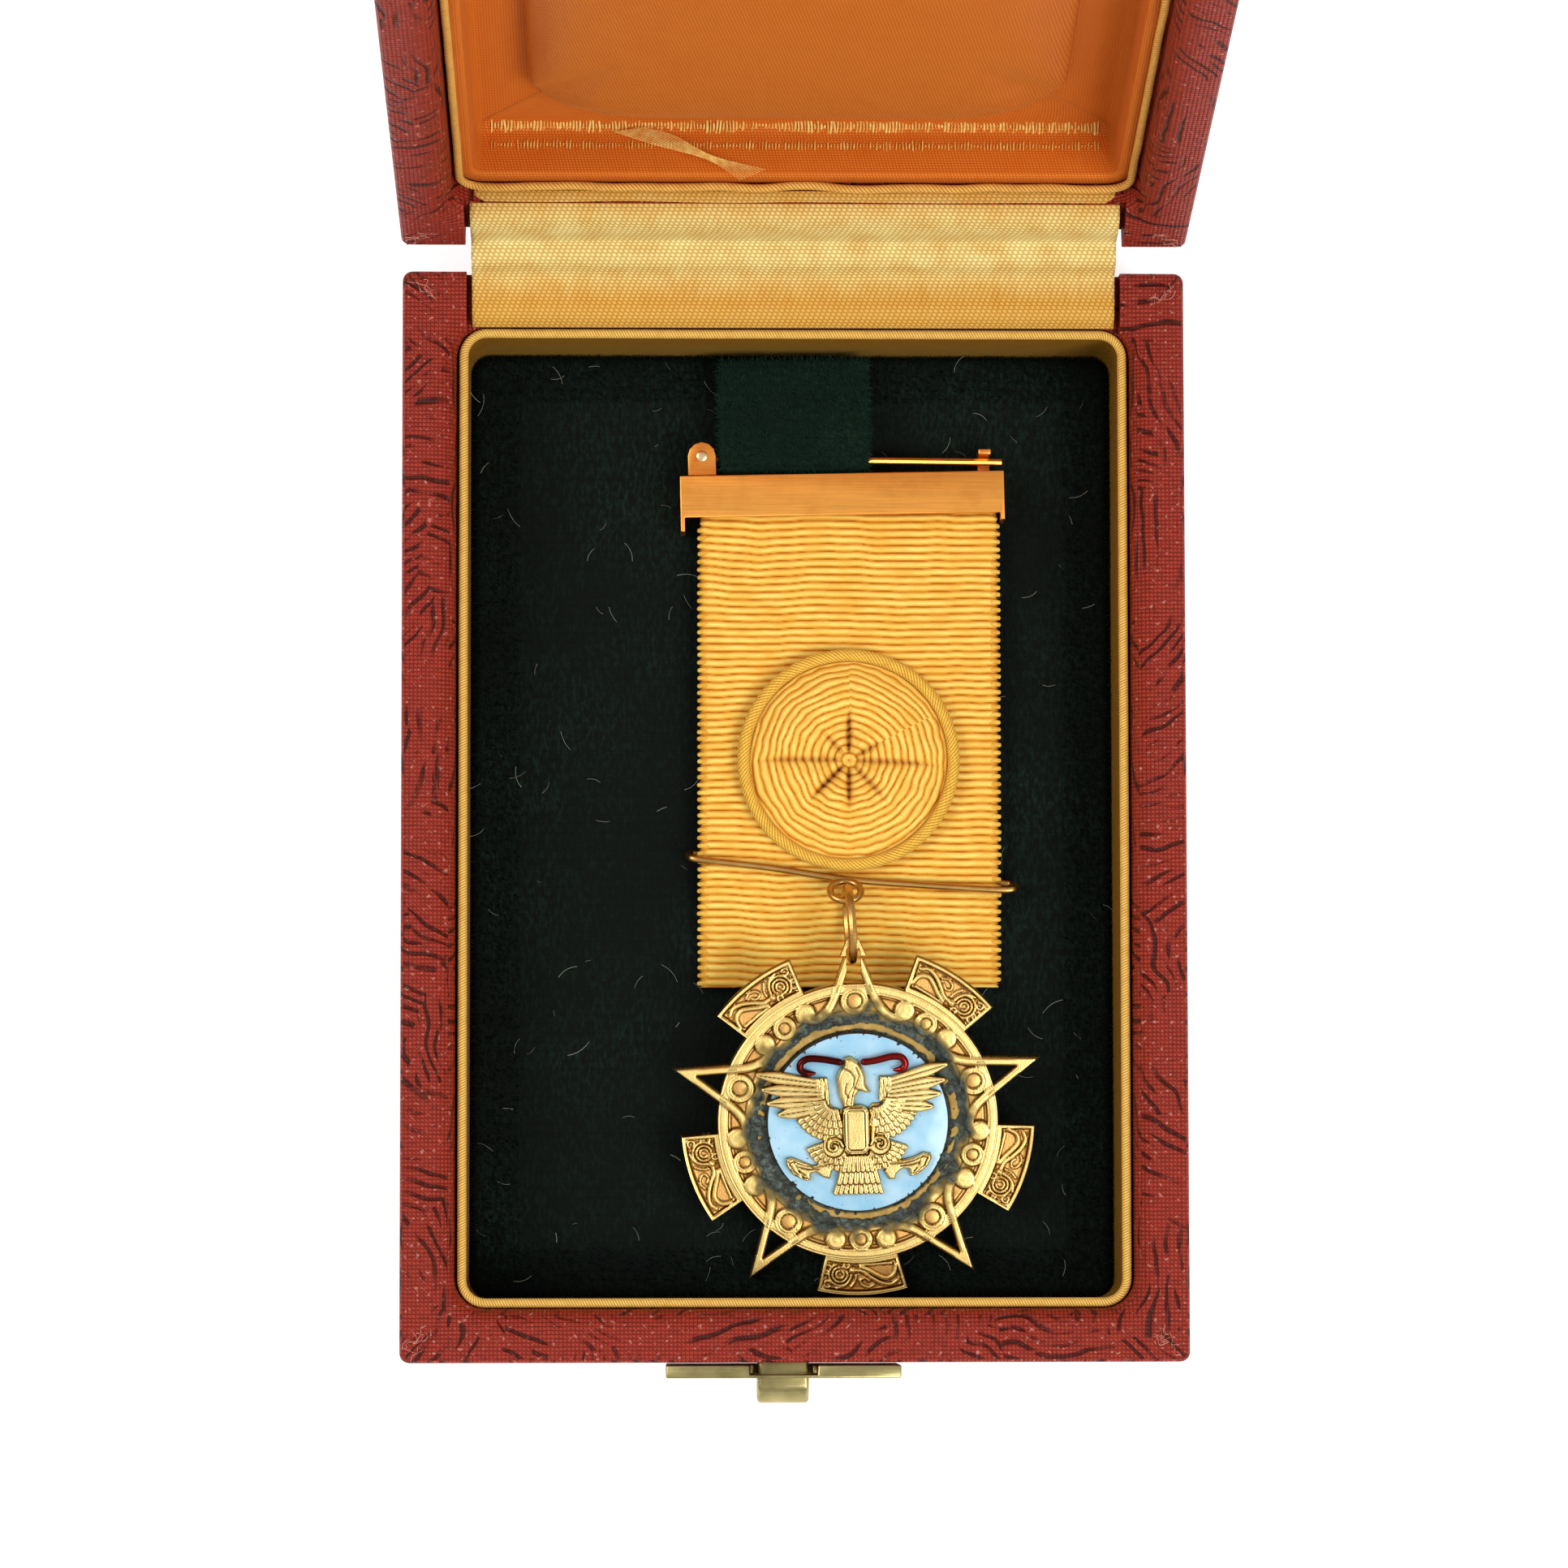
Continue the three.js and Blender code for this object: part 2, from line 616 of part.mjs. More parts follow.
function annulus(inner, outer, z0, z1, sides = 60) {
  const shape = new THREE.Shape();
  shape.absarc(0, 0, outer, 0, 360 * degree, false);
  const hole = new THREE.Path();
  hole.absarc(0, 0, inner, 0, 360 * degree, true);
  shape.holes.push(hole);
  const options = { depth: z1 - z0, bevelEnabled: false, curveSegments: sides / 2 };
  return new THREE.ExtrudeGeometry(shape, options).translate(0, 0, z0);
}

// A tab between two arcs: its outline grown inwards by inset.
function tabOutline(inset) {
  const outer = tabOuter - inset;
  const inner = tabInner + inset * 0.6;
  const outerHalf = 15.05 * degree - inset / outer;
  const innerHalf = 15.4 * degree - (inset * 1.1) / inner;
  const arc = (radius, from, to) => Array.from({ length: 6 }, (_, i) => (
    polar(radius, 90 * degree + from + ((to - from) * i) / 5)
  ));
  return [...arc(outer, -outerHalf, outerHalf), ...arc(inner, innerHalf, -innerHalf)];
}

// Half of a star point's band, from its tip in to the small disc that it curls round.
const bandEnd = polar(15.2, (90 + 24) * degree);
const bandLine = (tip) => [
  [0.1, tip - 1.4], [-0.85, 21.6], [-2.3, 16.6], [-3.15, 14.6], [-4.3, 13.3], [-5.6, 12.95], bandEnd,
];

function starPoint(tip) {
  const left = thickened(bandLine(tip), 2 * bandHalf);
  const right = left.map(([x, y]) => [-x, y]).reverse();
  const point = [[-1.55, 20.9], [1.55, 20.9], [0, tip]];
  return [plate(left, 0, 1.9), plate(right, 0, 1.9), plate(point, 0, tipThickness)];
}

function badgeFrame() {
  const parts = [
    cylinderZ(0, 0, 0, 0.7, badge.disc, 60),
    annulus(13.8, badge.disc, 0.5, 1.2),
    annulus(16.1, badge.disc, 0.5, 1.7),
    annulus(11.9, 12.5, 0.5, 1.1),
  ];
  for (let i = 0; i < points; i += 1) {
    const turn = (i * 360 * degree) / points;
    const tabTurn = turn + (180 * degree) / points;
    const bordered = cut(plate(tabOutline(0), 0, 1.5), plate(tabOutline(tabBorder), 1, 2));
    parts.push(bordered.rotateZ(tabTurn));
    parts.push(...starPoint(i === 0 ? topTip : starTip).map((part) => part.rotateZ(turn)));
    parts.push(cylinderZ(...polar(15.3, 90 * degree + turn), 0.5, 1.8, 1.75, 14));
    parts.push(cylinderZ(...polar(14.9, 90 * degree + tabTurn), 0.5, 1.7, 1.45, 12));
    for (const side of [-1, 1]) {
      parts.push(cylinderZ(...polar(15.2, 90 * degree + turn + side * 24 * degree), 0.5, 1.8, 1.3, 12));
    }
  }
  const wells = [];
  for (let i = 0; i < points; i += 1) {
    const turn = (i * 360 * degree) / points;
    wells.push(cylinderZ(...polar(15.3, 90 * degree + turn), 1.35, 3, 1, 10));
    wells.push(cylinderZ(...polar(14.9, 90 * degree + turn + (180 * degree) / points), 1.3, 3, 0.75, 10));
  }
  const ringHole = cylinderZ(0, holeAt, -1, 3, holeHalf, 12);
  const ringSlot = block(-holeHalf, holeHalf, badge.disc + 0.5, holeAt, -1, 3);
  const thinTip = block(-2, 2, holeAt - 0.6, starTip, tipThickness, 3);
  return cut(joined(...parts), ringHole, ringSlot, thinTip, ...wells);
}
piece('badge_frame', badgeFrame(), gold(), badgeGroup);

const enamelProfile = [
  [0, 1], [enamelRadius, 1], [enamelRadius, 1.7],
  [enamelRadius * 0.8, 1.95], [enamelRadius * 0.4, 2.1], [0, 2.15],
].map(([r, z]) => new THREE.Vector2(r, z));
const enamelDome = new THREE.LatheGeometry(enamelProfile, 40).rotateX(90 * degree);
piece('enamel_disc', enamelDome, cloth(0x8cc6e8, 0.15), badgeGroup);

// The eagle: layered plates, each given by its outline in x and y and the height of its top.
// Wings and legs are drawn on the right and repeated on the left.
const eagleBase = 2.15 + gap;
const wingOutline = [
  [1.6, -2.6], [4.6, -2], [6.2, -0.6], [7, 0.9], [9, 1.1], [9.4, 2.1], [10.2, 2.6], [10.4, 3.6],
  [11, 4.4], [11, 5.2], [11.8, 6.8], [8.4, 6.3], [4.1, 6.2], [3.9, 4.3], [3.1, 2.5], [2.2, 2.3],
];
const legOutline = [
  [1.6, -2.3], [4.2, -2.6], [6.4, -4.2], [8.2, -3.9], [9.2, -4.8], [8.9, -6.6], [7.6, -5.6],
  [6.6, -6.8], [5.6, -5.7], [4.4, -5.8], [4.6, -7], [3.1, -6.5], [2, -4.6],
];
const shoulderOutline = [
  [1.5, -1.6], [4.8, 0.2], [6.2, 2.2], [6.4, 4.6], [4.3, 5.9], [4, 4.2], [3.1, 2.2], [1.5, 2],
];
const bodyOutline = [[-2.3, -4.2], [2.3, -4.2], [2.4, 2.6], [1.4, 4.6], [-1.8, 4.6], [-2.4, 2.6]];
const headOutline = [
  [-2, 3.8], [0.4, 3.4], [1.9, 4.4], [1.3, 5.6], [1.2, 7.1], [0.2, 8.1], [-0.9, 8.5], [-1.5, 7], [-2.1, 5.4],
];
const tailOutline = [
  [-1.5, -3.8], [-2.2, -5.6], [-3.2, -8.7], [-1.6, -9.1], [0, -9.2], [1.6, -9.1], [2.8, -8.7], [2, -5.6],
  [1.4, -3.8],
];
const mirrored = (outline) => outline.map(([x, y]) => [-x, y]).reverse();
const eagleLayers = [
  { outline: wingOutline, top: 0.7 }, { outline: mirrored(wingOutline), top: 0.7 },
  { outline: shoulderOutline, top: 1 }, { outline: mirrored(shoulderOutline), top: 1 },
  { outline: legOutline, top: 0.7 }, { outline: mirrored(legOutline), top: 0.7 },
  { outline: tailOutline, top: 0.8 }, { outline: bodyOutline, top: 1.1 }, { outline: headOutline, top: 1.4 },
];
const shield = stack([
  { halfX: 1.65, halfY: 3.4, corner: 1.2, z: 0 }, { halfX: 1.65, halfY: 3.4, corner: 1.2, z: 1.4 },
  { halfX: 1.4, halfY: 3.15, corner: 1, z: 1.6 },
]).translate(-0.3, -0.7, eagleBase);
piece('eagle', joined(
  ...eagleLayers.map(({ outline, top }) => plate(outline, eagleBase, eagleBase + eagleThickness * top)),
  shield,
), gold(), badgeGroup);

// The serpent's two coils, one each side of the eagle's head: x and y of each coil's line.
const serpentZ = eagleBase + 0.45;
const serpentLeft = [[-2.5, 7.6], [-4.2, 8.3], [-6, 8.5], [-7.2, 7.9], [-6.9, 6.9], [-5.6, 6.75]];
const serpentRight = [[1.7, 7.8], [3.2, 8.1], [4.9, 8.4], [6, 7.9], [6, 7], [5, 6.8]];
const coil = (line) => wire(line.map(([x, y]) => [x, y, serpentZ]), 0.4, 14, 6);
piece('serpent_left', coil(serpentLeft), metal(0x5c1410, 0.3), badgeGroup);
piece('serpent_right', coil(serpentRight), metal(0xa3201a, 0.3), badgeGroup);

export default group;
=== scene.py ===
import json
from math import copysign, cos, exp, hypot, pi, radians, sin, sqrt

import bmesh
import bpy
import numpy as np
from mathutils import Matrix, Vector, noise

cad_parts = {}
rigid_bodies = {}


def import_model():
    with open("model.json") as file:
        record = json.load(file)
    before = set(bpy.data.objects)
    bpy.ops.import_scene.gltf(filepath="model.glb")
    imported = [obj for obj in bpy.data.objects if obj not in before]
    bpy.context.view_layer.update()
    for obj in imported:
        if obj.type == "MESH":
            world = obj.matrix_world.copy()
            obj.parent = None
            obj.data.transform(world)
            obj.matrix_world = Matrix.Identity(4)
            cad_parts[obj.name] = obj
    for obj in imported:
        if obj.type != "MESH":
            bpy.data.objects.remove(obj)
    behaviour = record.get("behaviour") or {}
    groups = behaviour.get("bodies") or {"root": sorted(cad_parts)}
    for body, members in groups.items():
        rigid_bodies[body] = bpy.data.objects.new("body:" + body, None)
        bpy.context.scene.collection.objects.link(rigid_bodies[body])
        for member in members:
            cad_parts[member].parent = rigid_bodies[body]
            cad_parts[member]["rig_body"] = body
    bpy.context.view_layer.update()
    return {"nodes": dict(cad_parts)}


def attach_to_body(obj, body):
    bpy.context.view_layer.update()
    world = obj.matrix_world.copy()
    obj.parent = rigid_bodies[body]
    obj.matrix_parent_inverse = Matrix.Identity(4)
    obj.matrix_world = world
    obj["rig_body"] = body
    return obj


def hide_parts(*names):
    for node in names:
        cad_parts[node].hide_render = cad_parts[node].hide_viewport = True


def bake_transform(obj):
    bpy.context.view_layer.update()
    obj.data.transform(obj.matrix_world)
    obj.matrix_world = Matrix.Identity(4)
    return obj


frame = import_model()
scene = bpy.context.scene
mm = 0.001

# The camera stands at the photograph's angle.

camera = {"at": (-15.7156, -52.3181, 618.2309), "turn": (0.0612839, -0.0240026, -0.0015763), "lens": 111.449,
          "shift": 0.1,
          "sensor": 36, "near": 0.01, "far": 20}
eyeData = bpy.data.cameras.new("eye")
eyeData.lens, eyeData.sensor_width, eyeData.shift_y = camera["lens"], camera["sensor"], camera["shift"]
eyeData.clip_start, eyeData.clip_end = camera["near"], camera["far"]
eye = bpy.data.objects.new("eye", eyeData)
eye.location = Vector(camera["at"]) * mm
eye.rotation_euler = camera["turn"]
scene.collection.objects.link(eye)
scene.camera = eye


# Meshes. Everything is drawn in millimetres and stored in metres.

nearby = 0.0008 * mm  # points closer than this are one
curveSteps = 24  # on each stretch of a smooth path, before it is divided evenly


def cleaned(thing, closed=True):
    bm = bmesh.new()
    bm.from_mesh(thing.data)
    bmesh.ops.remove_doubles(bm, verts=bm.verts, dist=nearby)
    if closed:
        bmesh.ops.recalc_face_normals(bm, faces=bm.faces)
    bm.to_mesh(thing.data)
    bm.free()
    return thing


def meshPiece(name, points, faces, finish, uv=None, closed=True, sharp=40, marks=None):
    mesh = bpy.data.meshes.new(name)
    places = np.asarray(points, float).reshape(-1, 3) * mm
    mesh.from_pydata(places.tolist(), [], [[int(i) for i in f] for f in faces])
    if uv is not None:
        corner = np.empty(len(mesh.loops), int)
        mesh.loops.foreach_get("vertex_index", corner)
        layer = mesh.uv_layers.new(name="flat")
        layer.data.foreach_set("uv", np.asarray(uv, float).reshape(-1, 2)[corner].ravel())
    for mark, values in (marks or {}).items():
        layer = mesh.attributes.new(mark, "FLOAT", "POINT")
        layer.data.foreach_set("value", np.asarray(values, np.float32).reshape(-1))
    mesh.materials.append(finish)
    thing = bpy.data.objects.new(name, mesh)
    scene.collection.objects.link(thing)
    cleaned(thing, closed)
    mesh.shade_smooth()
    mesh.set_sharp_from_angle(angle=radians(sharp))
    return thing


def gridFaces(rows, columns):
    start = np.arange(rows * columns).reshape(rows, columns)
    a, b, c, d = start[:-1, :-1], start[:-1, 1:], start[1:, 1:], start[1:, :-1]
    return np.stack([a, b, c, d], axis=-1).reshape(-1, 4).tolist()


def gridPiece(name, points, finish, uv=None, closed=True, caps=(), sharp=40, marks=None):
    rows, columns = points.shape[:2]
    faces = gridFaces(rows, columns)
    for row in caps:
        start = (row % rows) * columns
        faces.append(list(range(start, start + columns - 1)))
    return meshPiece(name, points, faces, finish, uv, closed, sharp, marks)


def lengthsAlong(points):
    steps = np.linalg.norm(np.diff(points, axis=0), axis=1)
    return np.concatenate([[0], np.cumsum(steps)])


def smoothPath(points, count, closed=False):
    # a Catmull-Rom line through the points, at even distances
    p = np.asarray(points, float)
    n = len(p)
    fine = []
    for i in range(n if closed else n - 1):
        if closed:
            a, b, c, d = p[(i - 1) % n], p[i], p[(i + 1) % n], p[(i + 2) % n]
        else:
            b, c = p[i], p[i + 1]
            a = p[i - 1] if i else 2 * b - c
            d = p[i + 2] if i + 2 < n else 2 * c - b
        for t in np.arange(0, 1, 1 / curveSteps):
            bend = (2 * a - 5 * b + 4 * c - d) * t ** 2
            fine.append(0.5 * (2 * b + (c - a) * t + bend + (3 * b - a - 3 * c + d) * t ** 3))
    fine.append(p[0] if closed else p[-1])
    fine = np.array(fine)
    along = lengthsAlong(fine)
    at = np.linspace(0, along[-1], count + 1 if closed else count)
    return np.stack([np.interp(at, along, fine[:, k]) for k in range(p.shape[1])], axis=1)


def tubeRows(path, radius, sides, closed=False, up=(0, 0, 1)):
    # rings of points round a path, the first point of each ring repeated at its end
    path = np.asarray(path, float)
    if closed:
        ahead = np.roll(path[:-1], -1, axis=0)
        behind = np.roll(path[:-1], 1, axis=0)
        along = np.vstack([ahead - behind, (ahead - behind)[:1]])
    else:
        along = np.gradient(path, axis=0)
    along /= np.linalg.norm(along, axis=1)[:, None]
    side = np.cross(along, np.asarray(up, float))
    side /= np.maximum(np.linalg.norm(side, axis=1)[:, None], 1e-9)
    over = np.cross(side, along)
    turn = np.linspace(0, 2 * pi, sides + 1)
    if np.ndim(radius) < 2:
        radius = np.asarray(radius, float).reshape(-1, 1)
    radius = np.broadcast_to(radius, (len(path), sides + 1))
    return (path[:, None] + side[:, None] * (radius * np.cos(turn))[..., None]
            + over[:, None] * (radius * np.sin(turn))[..., None])


def flatUv(along, across):
    return np.stack(np.meshgrid(along, across, indexing="ij"), axis=-1)[..., ::-1]


def tubeUv(path, sides, around):
    return flatUv(lengthsAlong(np.asarray(path)), np.linspace(0, around, sides + 1))[..., ::-1]


def tubePiece(name, path, radius, finish, sides=16, closed=False, up=(0, 0, 1)):
    rows = tubeRows(path, radius, sides, closed, up)
    around = 2 * pi * float(np.max(radius))
    return gridPiece(name, rows, finish, tubeUv(path, sides, around), caps=() if closed else (0, -1), sharp=60)


def roundedLoop(halfX, halfY, corner, arcSteps, sideSteps):
    corner = max(corner, 0.04)
    points = []
    for quarter in range(4):
        sx, sy = (1, -1, -1, 1)[quarter], (1, 1, -1, -1)[quarter]
        cx, cy = sx * (halfX - corner), sy * (halfY - corner)
        for step in range(arcSteps + 1):
            angle = (quarter + step / arcSteps) * pi / 2
            points.append((cx + corner * cos(angle), cy + corner * sin(angle)))
        nx, ny = (-1, -1, 1, 1)[quarter] * (halfX - corner), (1, -1, -1, 1)[quarter] * (halfY - corner)
        angle = (quarter + 1) * pi / 2
        end = (nx + corner * cos(angle), ny + corner * sin(angle))
        begin, steps = points[-1], sideSteps[quarter % 2]
        points += [(begin[0] + (end[0] - begin[0]) * s / steps, begin[1] + (end[1] - begin[1]) * s / steps)
                   for s in range(1, steps)]
    return np.array(points + points[:1])


def ringRows(profile, arcSteps=6, sideSteps=(24, 34)):
    # rounded rectangles given as (halfX, halfY, corner, z), from the first to the last
    rows = []
    for halfX, halfY, corner, z in profile:
        loop = roundedLoop(halfX, halfY, corner, arcSteps, sideSteps)
        rows.append(np.column_stack([loop, np.full(len(loop), z)]))
    rows = np.array(rows)
    widest = max(range(len(profile)), key=lambda i: profile[i][0])
    u = lengthsAlong(rows[widest])
    v = lengthsAlong(np.array([(-p[0], p[3]) for p in profile]))
    return rows, flatUv(v, u)


def arcProfile(centre, radius, start, end, steps):
    turns = np.radians(np.linspace(start, end, steps))
    return [(centre[0] + radius * cos(t), centre[1] + radius * sin(t)) for t in turns]


def bake(thing):
    graph = bpy.context.evaluated_depsgraph_get()
    mesh = bpy.data.meshes.new_from_object(thing.evaluated_get(graph), preserve_all_data_layers=True, depsgraph=graph)
    thing.modifiers.clear()
    thing.data = mesh
    mesh.name = thing.name
    return thing


def thickened(thing, thickness):
    solid = thing.modifiers.new("cloth", "SOLIDIFY")
    solid.thickness, solid.offset = thickness * mm, 0
    return bake(thing)


def cutAway(thing, boxes):
    # takes boxes, given by their lowest and highest corners, out of a closed piece
    for low, high in boxes:
        bm = bmesh.new()
        bmesh.ops.create_cube(bm, size=1)
        low, high = Vector(low) * mm, Vector(high) * mm
        for vertex in bm.verts:
            vertex.co = Vector([low[k] + (high[k] - low[k]) * (vertex.co[k] + 0.5) for k in range(3)])
        mesh = bpy.data.meshes.new("cutter")
        bm.to_mesh(mesh)
        bm.free()
        cutter = bpy.data.objects.new("cutter", mesh)
        scene.collection.objects.link(cutter)
        modifier = thing.modifiers.new("cut", "BOOLEAN")
        modifier.operation, modifier.solver, modifier.object = "DIFFERENCE", "EXACT", cutter
        bake(thing)
        bpy.data.objects.remove(cutter)
    thing.data.set_sharp_from_angle(angle=radians(40))
    return thing


def boxUv(thing):
    # the covering lies flat on every side of the case, so its weave isn't drawn together anywhere
    mesh = thing.data
    count, corner = np.empty(len(mesh.polygons), int), np.empty(len(mesh.loops), int)
    normal, points = np.empty(len(mesh.polygons) * 3), np.empty(len(mesh.vertices) * 3)
    mesh.polygons.foreach_get("loop_total", count)
    mesh.polygons.foreach_get("normal", normal)
    mesh.loops.foreach_get("vertex_index", corner)
    mesh.vertices.foreach_get("co", points)
    side = np.repeat(np.argmax(np.abs(normal.reshape(-1, 3)), axis=1), count)
    x, y, z = (points.reshape(-1, 3)[corner] / mm).T
    flat = np.stack([np.where(side == 0, y, x), np.where(side == 2, y, z + 170 * (side + 1))], axis=-1)
    mesh.uv_layers.new(name="flat").data.foreach_set("uv", flat.ravel())
    return thing


def moved(thing, matrix):
    thing.data.transform(matrix)
    return thing


def attach(thing, body, slot, *nodes):
    if nodes:
        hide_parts(*nodes)
    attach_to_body(thing, body)
    return thing


def softened(node, name, width, finish, slot, segments=2, angle=30):
    # a CAD node's shape with its edges rounded
    mesh = frame["nodes"][node].data.copy()
    thing = bpy.data.objects.new(name, mesh)
    scene.collection.objects.link(thing)
    bm = bmesh.new()
    bm.from_mesh(mesh)
    bmesh.ops.remove_doubles(bm, verts=bm.verts, dist=0.001 * mm)
    bmesh.ops.dissolve_limit(bm, angle_limit=radians(0.5), verts=bm.verts, edges=bm.edges)
    bm.to_mesh(mesh)
    bm.free()
    mesh.materials.clear()
    mesh.materials.append(finish)
    modifier = thing.modifiers.new("round", "BEVEL")
    modifier.width, modifier.segments = width * mm, segments
    modifier.limit_method, modifier.angle_limit = "ANGLE", radians(angle)
    modifier.use_clamp_overlap = True
    bake(thing)
    thing.data.shade_smooth()
    thing.data.set_sharp_from_angle(angle=radians(32))
    return attach(thing, frame["nodes"][node]["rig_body"], slot, node)


# Finishes. Pitches and cells are in millimetres.

def finishOf(name, colour, roughness, metallic=0.0, **sockets):
    material = bpy.data.materials.new(name)
    material.use_nodes = True
    shader = material.node_tree.nodes["Principled BSDF"]
    shader.inputs["Base Color"].default_value = (*colour, 1)
    shader.inputs["Roughness"].default_value = roughness
    shader.inputs["Metallic"].default_value = metallic
    for socket, value in sockets.items():
        shader.inputs[socket.replace("_", " ")].default_value = value
    return material


def node(tree, kind, inputs=(), **settings):
    made = tree.nodes.new(kind)
    for key, value in settings.items():
        setattr(made, key, value)
    for socket, value in dict(inputs).items():
        if isinstance(value, bpy.types.NodeSocket):
            tree.links.new(value, made.inputs[socket])
        else:
            made.inputs[socket].default_value = value
    return made


def sums(tree, operation, a, b=0.0, clamp=False):
    return node(tree, "ShaderNodeMath", {0: a, 1: b}, operation=operation, use_clamp=clamp).outputs[0]


def times(tree, a, b, clamp=False):
    return sums(tree, "MULTIPLY", a, b, clamp=clamp)


def plus(tree, a, b):
    return sums(tree, "ADD", a, b)


def place(tree, uv=False):
    # object coordinates in millimetres, or the piece's own flat ones
    if uv:
        return node(tree, "ShaderNodeUVMap", uv_map="flat").outputs[0]
    where = node(tree, "ShaderNodeTexCoord").outputs["Object"]
    return node(tree, "ShaderNodeVectorMath", {0: where, "Scale": 1 / mm}, operation="SCALE").outputs[0]


def stretch(tree, vector, scale, turn=0.0):
    return node(tree, "ShaderNodeMapping",
                {"Vector": vector, "Scale": scale, "Rotation": (0, 0, radians(turn))}).outputs[0]


def cloudy(tree, vector, scale, detail=3.0, roughness=0.5, output="Fac"):
    return node(tree, "ShaderNodeTexNoise",
                {"Vector": vector, "Scale": scale, "Detail": detail, "Roughness": roughness}).outputs[output]


def ramp(tree, value, low, high, start=0.0, end=1.0):
    return node(tree, "ShaderNodeMapRange", {"Value": value, "From Min": low, "From Max": high, "To Min": start,
                                             "To Max": end}).outputs[0]


def blendColour(tree, factor, a, b):
    made = node(tree, "ShaderNodeMix", data_type="RGBA")
    for socket, value in ((0, factor), (6, a), (7, b)):
        if isinstance(value, bpy.types.NodeSocket):
            tree.links.new(value, made.inputs[socket])
        else:
            made.inputs[socket].default_value = value if socket == 0 else (*value, 1)
    return made.outputs[2]


def raised(tree, height, distance, strength=1.0):
    return node(tree, "ShaderNodeBump", {"Height": height, "Distance": distance * mm,
                                         "Strength": strength}).outputs[0]


def wire(material, **sockets):
    shader = material.node_tree.nodes["Principled BSDF"]
    for socket, value in sockets.items():
        material.node_tree.links.new(value, shader.inputs[socket.replace("_", " ")])
    return material


def axes(tree, vector):
    return node(tree, "ShaderNodeSeparateXYZ", {0: vector}).outputs


def wave(tree, value, pitch, power=1.0):
    # rounded ridges from 0 to 1 at that pitch
    turned = times(tree, value, pi / pitch)
    return sums(tree, "POWER", sums(tree, "ABSOLUTE", sums(tree, "SINE", turned)), power)


leather = {"colour": (0.285, 0.021, 0.008), "dark": (0.03, 0.004, 0.003), "light": (0.5, 0.07, 0.045),
           "glint": (0.62, 0.26, 0.2), "thread": 0.5, "creaseCell": 15.0, "creasePitch": 1.6}


def leatherFinish():
    # woven ground with pressed creases that run one way in each patch
    material = finishOf("leatherette", leather["colour"], 0.45, Specular_IOR_Level=0.22)
    tree = material.node_tree
    flat = place(tree, uv=True)
    u, v, _ = axes(tree, flat)
    warp = wave(tree, u, leather["thread"], 0.7)
    weft = wave(tree, v, leather["thread"], 0.7)
    threads = times(tree, warp, weft)
    slub = cloudy(tree, stretch(tree, flat, (0.5, 2.2, 1)), 1.3, 3)
    drift = node(tree, "ShaderNodeVectorMath", {0: cloudy(tree, flat, 0.1, 2, output="Color"), "Scale": 4.0},
                 operation="SCALE").outputs[0]
    bent = node(tree, "ShaderNodeVectorMath", {0: flat, 1: drift}, operation="ADD").outputs[0]
    patch = node(tree, "ShaderNodeTexVoronoi",
                 {"Vector": bent, "Scale": 1 / leather["creaseCell"], "Randomness": 0.9}, voronoi_dimensions="2D")
    angle = times(tree, axes(tree, patch.outputs["Color"])[0], 6.3)
    turned = node(tree, "ShaderNodeVectorRotate", {"Vector": bent, "Angle": angle}, rotation_type="Z_AXIS").outputs[0]
    ripple = cloudy(tree, turned, 0.1, 1)
    across = plus(tree, axes(tree, turned)[0], times(tree, ripple, 6.0))
    stroke = ramp(tree, wave(tree, across, leather["creasePitch"]), 0.6, 0.22)
    broken = ramp(tree, cloudy(tree, stretch(tree, turned, (0.8, 0.1, 1)), 0.9, 1), 0.44, 0.52)
    patchy = ramp(tree, cloudy(tree, flat, 0.09, 2), 0.38, 0.5)
    crease = times(tree, times(tree, stroke, broken), patchy, clamp=True)
    glint = ramp(tree, cloudy(tree, flat, 1.5, 1), 0.66, 0.72)
    deeper, paler = (tuple(c * share for c in leather["colour"]) for share in (0.8, 1.25))
    tone = blendColour(tree, ramp(tree, slub, 0.35, 0.7), deeper, paler)
    # painted highlight on the thread tops and painted shade in the gaps between threads
    tone = blendColour(tree, times(tree, ramp(tree, threads, 0.7, 1.0), 0.35), tone, leather["light"])
    tone = blendColour(tree, times(tree, ramp(tree, threads, 0.35, 0.0), 0.75), tone, leather["dark"])
    tone = blendColour(tree, times(tree, glint, 0.6), tone, leather["glint"])
    # painted shade in the creases
    tone = blendColour(tree, times(tree, crease, 0.88), tone, leather["dark"])
    height = sums(tree, "SUBTRACT", times(tree, threads, 0.4), crease)
    wire(material, Base_Color=tone, Normal=raised(tree, height, 0.3, 1.0),
         Roughness=ramp(tree, slub, 0.3, 0.7, 0.52, 0.38))
    return material


def clothFinish(name, colour, roughness, tint, sheen=0.2, level=0.4):
    material = finishOf(name, colour, roughness, Sheen_Weight=sheen, Sheen_Roughness=0.35, Specular_IOR_Level=level)
    shader = material.node_tree.nodes["Principled BSDF"]
    shader.inputs["Sheen Tint"].default_value = (*tint, 1)
    shader.inputs["Specular Tint"].default_value = (*tint, 1)
    return material


